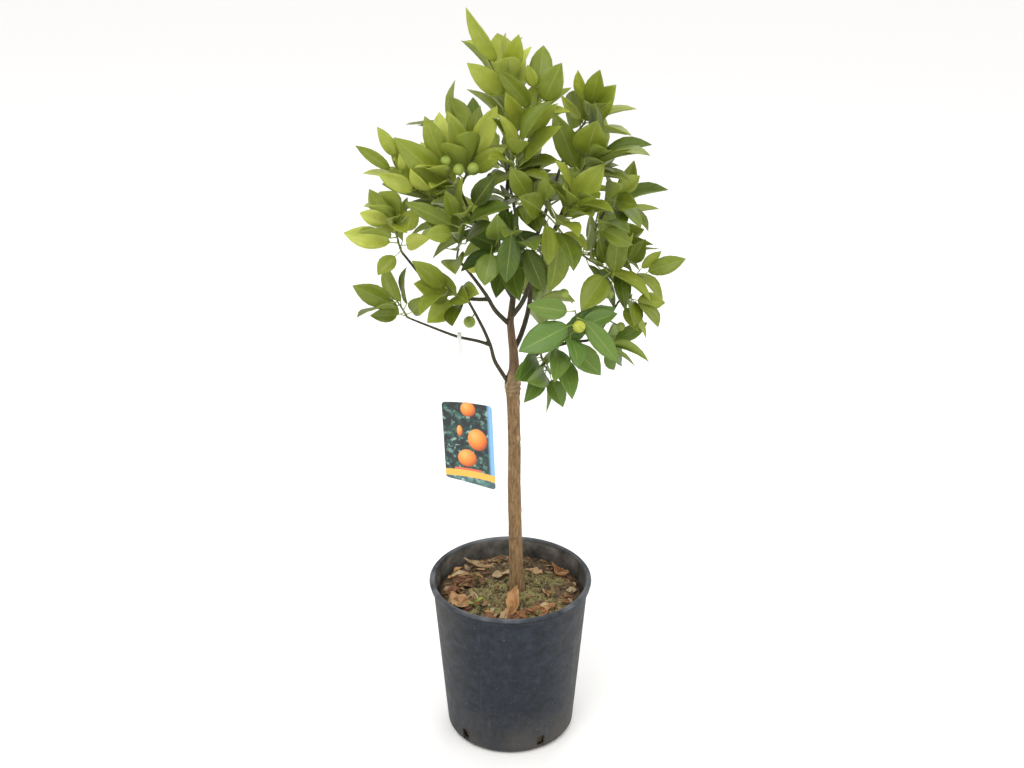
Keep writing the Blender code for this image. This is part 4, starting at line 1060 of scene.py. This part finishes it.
def buildCrumbs():
    random.seed(litter["seed"] + 1)
    earth = crumbMaterial("peatCrumb", ("#2d231a", "#57452f", "#85714f"), 260)
    moss = crumbMaterial("mossTuft", ("#5b5337", "#897e57", "#b2a87f"), 420)
    bark = crumbMaterial("pineBarkChip", ("#43301f", "#77593a", "#a58a64"), 190)
    root = crumbMaterial("dryRoot", ("#5f4c38", "#8a7354", "#b39f7e"), 300)
    addPiece(scatter(*litter["crumbs"]), "peatCrumbs", [earth])
    addPiece(scatter(*litter["tufts"]), "mossTufts", [moss])
    addPiece(scatter(*litter["chips"]), "barkChips", [bark], smooth=False)
    routes = []
    for k in range(litter["roots"]):
        turn = random.uniform(0.3, 1.0) * math.pi if k % 2 else random.uniform(0, fullTurn)
        x = 0.078 * math.cos(turn) * random.uniform(0.6, 1)
        y = 0.078 * math.sin(turn) * random.uniform(0.6, 1)
        heading = random.uniform(0, fullTurn)
        points = []
        for step in range(7):
            spot = onSoil(x, y)
            points.append(spot + up * (0.0008 + 0.003 * math.sin(step * 0.5) * (k % 3 == 0)))
            heading += random.uniform(-0.5, 0.5)
            x, y = x + 0.006 * math.cos(heading), y + 0.006 * math.sin(heading)
            inward = min(1, 0.094 / math.hypot(x, y))  # keeps it inside the pot's wall
            x, y = x * inward, y * inward
        size = random.uniform(0.0003, 0.0007)
        routes.append((smoothRoute(points, 2), [size * (1 - 0.05 * n) for n in range(13)]))
    for k in range(litter["twigs"]):
        turn = math.radians(random.uniform(85, 165))
        x, y = 0.082 * math.cos(turn), 0.082 * math.sin(turn)
        heading = turn + math.radians(90 + random.uniform(-25, 25))
        length = random.uniform(0.012, 0.026)
        ends = [Vector((x, y, 0)) + Vector((math.cos(heading), math.sin(heading), 0)) * length * side
                for side in (-1, 0.1, 1)]
        ends = [end * min(1, 0.092 / end.length) for end in ends]
        points = [onSoil(*end.xy) + up * random.uniform(0.001, 0.006) for end in ends]
        size = random.uniform(0.0006, 0.0012)
        routes.append((smoothRoute(points, 3), [size * (1 - 0.06 * n) for n in range(7)]))
    mesh = bmesh.new()
    joinMesh(mesh, tubes(routes, 0))
    addPiece(mesh, "rootsAndTwigs", [root])


buildDryLeaves()
buildShreds()
buildCrumbs()
print("litter is strewn")


# Label: a card printed with round fruits among leaves, which hangs from a branch by its strap

label = {
    "top": (-0.055, -0.058, 0.522), "foot": (0.0045, 0.003, -0.119), "hang": (-0.063, -0.049, 0.609),
    "width": 0.064, "tall": 1.86, "thickness": 0.0006, "bow": 0.004, "roll": 9, "slump": 0.0014,
    "strap": 0.005, "loop": 0.0065, "corner": 0.07, "cut": 0.09,
    # the printed fruits: middle, half width and half height
    "fruits": ((0.52, 0.925, 0.155, 0.165), (0.68, 0.575, 0.20, 0.245), (0.455, 0.34, 0.195, 0.205),
               (0.33, 0.665, 0.06, 0.125)),
    "orange": "#f08226", "band": "#e8b54a", "sky": "#7fb4dd",
}


def printMaterial():
    # gloss-laminated card: a bright print under a clear film, which gives it a soft highlight
    made, shader, add = newMaterial("laminatedCard", {"Roughness": 0.22, "IOR": 1.5, "Coat Weight": 0.3})
    chart = add("UVMap", uv_map="cardChart")
    u, v, _ = add("SeparateXYZ", chart).node.outputs
    wide = add("Mapping", {"Vector": chart, "Scale": (1, label["tall"], 1)})
    # leaves: cells of one thirteenth of the card's width, bent by noise
    stir = add("TexNoise", wide, 9, 3).node.outputs["Color"]
    bent = add("VectorMath", stir, (0.22, 0.22, 0), wide, operation="MULTIPLY_ADD")
    leafy = add("TexVoronoi", bent, 13)
    foliage = add("ValToRGB", add("SeparateColor", leafy.node.outputs["Color"]),
                  stops=((0.1, "#08181c"), (0.45, "#16403f"), (0.75, "#35705f"), (0.97, "#9cc4b6")))
    edge = add("Math", leafy, 0.9, operation="MULTIPLY")
    colour = add("Mix", edge, foliage, linear("#061416"))
    colour = add("Mix", add("MapRange", u, 0.88, 0.94), colour, linear(label["sky"]))
    for x, y, halfWidth, halfHeight in label["fruits"]:
        spot = add("VectorMath", wide, (x, y * label["tall"], 0), operation="SUBTRACT")
        spot = add("VectorMath", spot, (halfWidth, halfHeight, 1), operation="DIVIDE")
        fromShine = add("VectorMath", spot, (-0.3, 0.4, 0), operation="DISTANCE")
        ball = add("ValToRGB", add("Math", fromShine, 1.4, operation="DIVIDE"),
                   stops=((0.0, "#ffb765"), (0.3, "#f9a04a"), (0.62, label["orange"]), (1.0, "#a8431c")))
        inside = add("MapRange", add("VectorMath", spot, operation="LENGTH"), 0.93, 1.0, 1.0, 0.0)
        colour = add("Mix", inside, colour, ball)
    # a red line, a yellow band and a grey-green strip along the foot
    level = add("Math", u, 0.03, v, operation="MULTIPLY_ADD")
    offMiddle = add("Math", add("Math", u, 0.46, operation="SUBTRACT"), operation="ABSOLUTE")
    line = add("Math", offMiddle, 0.27, operation="LESS_THAN")
    line = add("Math", add("MapRange", level, 0.235, 0.225), line, operation="MULTIPLY")
    colour = add("Mix", line, colour, linear("#d8684f"))
    colour = add("Mix", add("MapRange", level, 0.205, 0.198), colour, linear(label["band"]))
    strip = add("Mix", 0.35, foliage, linear("#6f8d92"))
    colour = add("Mix", add("MapRange", level, 0.125, 0.115), colour, strip)
    fill(shader, {"Base Color": colour})
    return made


def plainCardMaterial():
    # white polypropylene film: smooth and bright, very slightly cloudy
    made, shader, add = newMaterial("whitePolypropyleneFilm", {"Roughness": 0.3, "IOR": 1.49})
    cloudy = add("TexNoise", add("TexCoord").node.outputs["Object"], 60, 3, 0.55)
    fill(shader, {"Base Color": add("ValToRGB", cloudy, stops=((0.3, "#e6e9e7"), (0.7, "#eff1f0")))})
    return made


def buildLabel():
    tall, cut = label["tall"], label["cut"]
    top, hang = Vector(label["top"]), Vector(label["hang"])
    foot = top + Vector(label["foot"])
    roll = math.radians(label["roll"])
    across = Vector((math.cos(roll), 0.10, -math.sin(roll))).normalized()
    out = across.cross((top - foot).normalized()).normalized()
    mesh = bmesh.new()
    chart = mesh.loops.layers.uv.new("cardChart")
    bmesh.ops.create_grid(mesh, x_segments=1, y_segments=1, size=0.5)
    bmesh.ops.scale(mesh, vec=(1, tall, 1), verts=mesh.verts)
    bmesh.ops.bevel(mesh, geom=list(mesh.verts), affect="VERTICES", offset=label["corner"], segments=5,
                    profile=0.5, material=-1)
    lines = [((k / 10 - 0.5, 0, 0), (1, 0, 0)) for k in range(1, 10)]
    lines += [((0, tall * (k / 16 - 0.5), 0), (0, 1, 0)) for k in range(1, 16)]
    for point, normal in lines:
        bmesh.ops.bisect_plane(mesh, geom=[*mesh.verts, *mesh.edges, *mesh.faces], plane_co=point,
                               plane_no=normal)
    for vert in mesh.verts:
        # the lower left corner is cut away
        t = vert.co.y / tall + 0.5
        vert.co.y += tall * cut * (0.5 - vert.co.x) ** 1.6 * (1 - t) ** 5
    for face in mesh.faces:
        for loop in face.loops:
            loop[chart].uv = (loop.vert.co.x + 0.5, loop.vert.co.y / tall + 0.5)
    for vert in mesh.verts:
        s, t = vert.co.x * 2, vert.co.y / tall + 0.5
        bow = label["bow"] * (s * s - 0.5) + 0.0012 * math.sin(t * 4)
        slump = -up * s * label["slump"] * (1 - t)
        vert.co = foot.lerp(top, t) + across * s * label["width"] / 2 + out * bow + slump
    mesh.normal_update()
    if sum(face.normal.y for face in mesh.faces) > 0:
        bmesh.ops.reverse_faces(mesh, faces=mesh.faces)
    front = set(mesh.faces)
    bmesh.ops.solidify(mesh, geom=list(mesh.faces), thickness=label["thickness"])
    for face in mesh.faces:
        face.material_index = 0 if face in front else 1
    arch = [hang + Vector((0, -label["loop"] * math.cos(a), label["loop"] * math.sin(a)))
            for a in [math.radians(15 * k) for k in range(13)]]
    # the strap starts behind the card, goes over the branch and ends in a short tail
    low = top - (top - foot).normalized() * 0.004 - out * 0.0042
    tail = [hang + Vector((0, label["loop"], drop)) for drop in (-0.010, -0.022)]
    line = smoothRoute([low, top.lerp(arch[0], 0.5), arch[0]], 6)[:-1]
    line += arch + smoothRoute([arch[-1], *tail], 4)[1:]
    strap = bmesh.ops.create_grid(mesh, x_segments=1, y_segments=len(line) - 1, size=0.5)["verts"]
    for vert in strap:
        here = line[round((vert.co.y + 0.5) * (len(line) - 1))]
        vert.co = here + across * vert.co.x * label["strap"]
    faces = facesRound(strap)
    for face in faces:
        face.material_index = 1
    bmesh.ops.recalc_face_normals(mesh, faces=faces)
    bmesh.ops.solidify(mesh, geom=faces, thickness=label["thickness"] * 0.8)
    piece = addPiece(mesh, "hangingLabel", [printMaterial(), plainCardMaterial()], ["label"])
    soften = piece.modifiers.new("crispEdges", "EDGE_SPLIT")
    soften.split_angle = math.radians(50)


buildLabel()
print("label is hung")
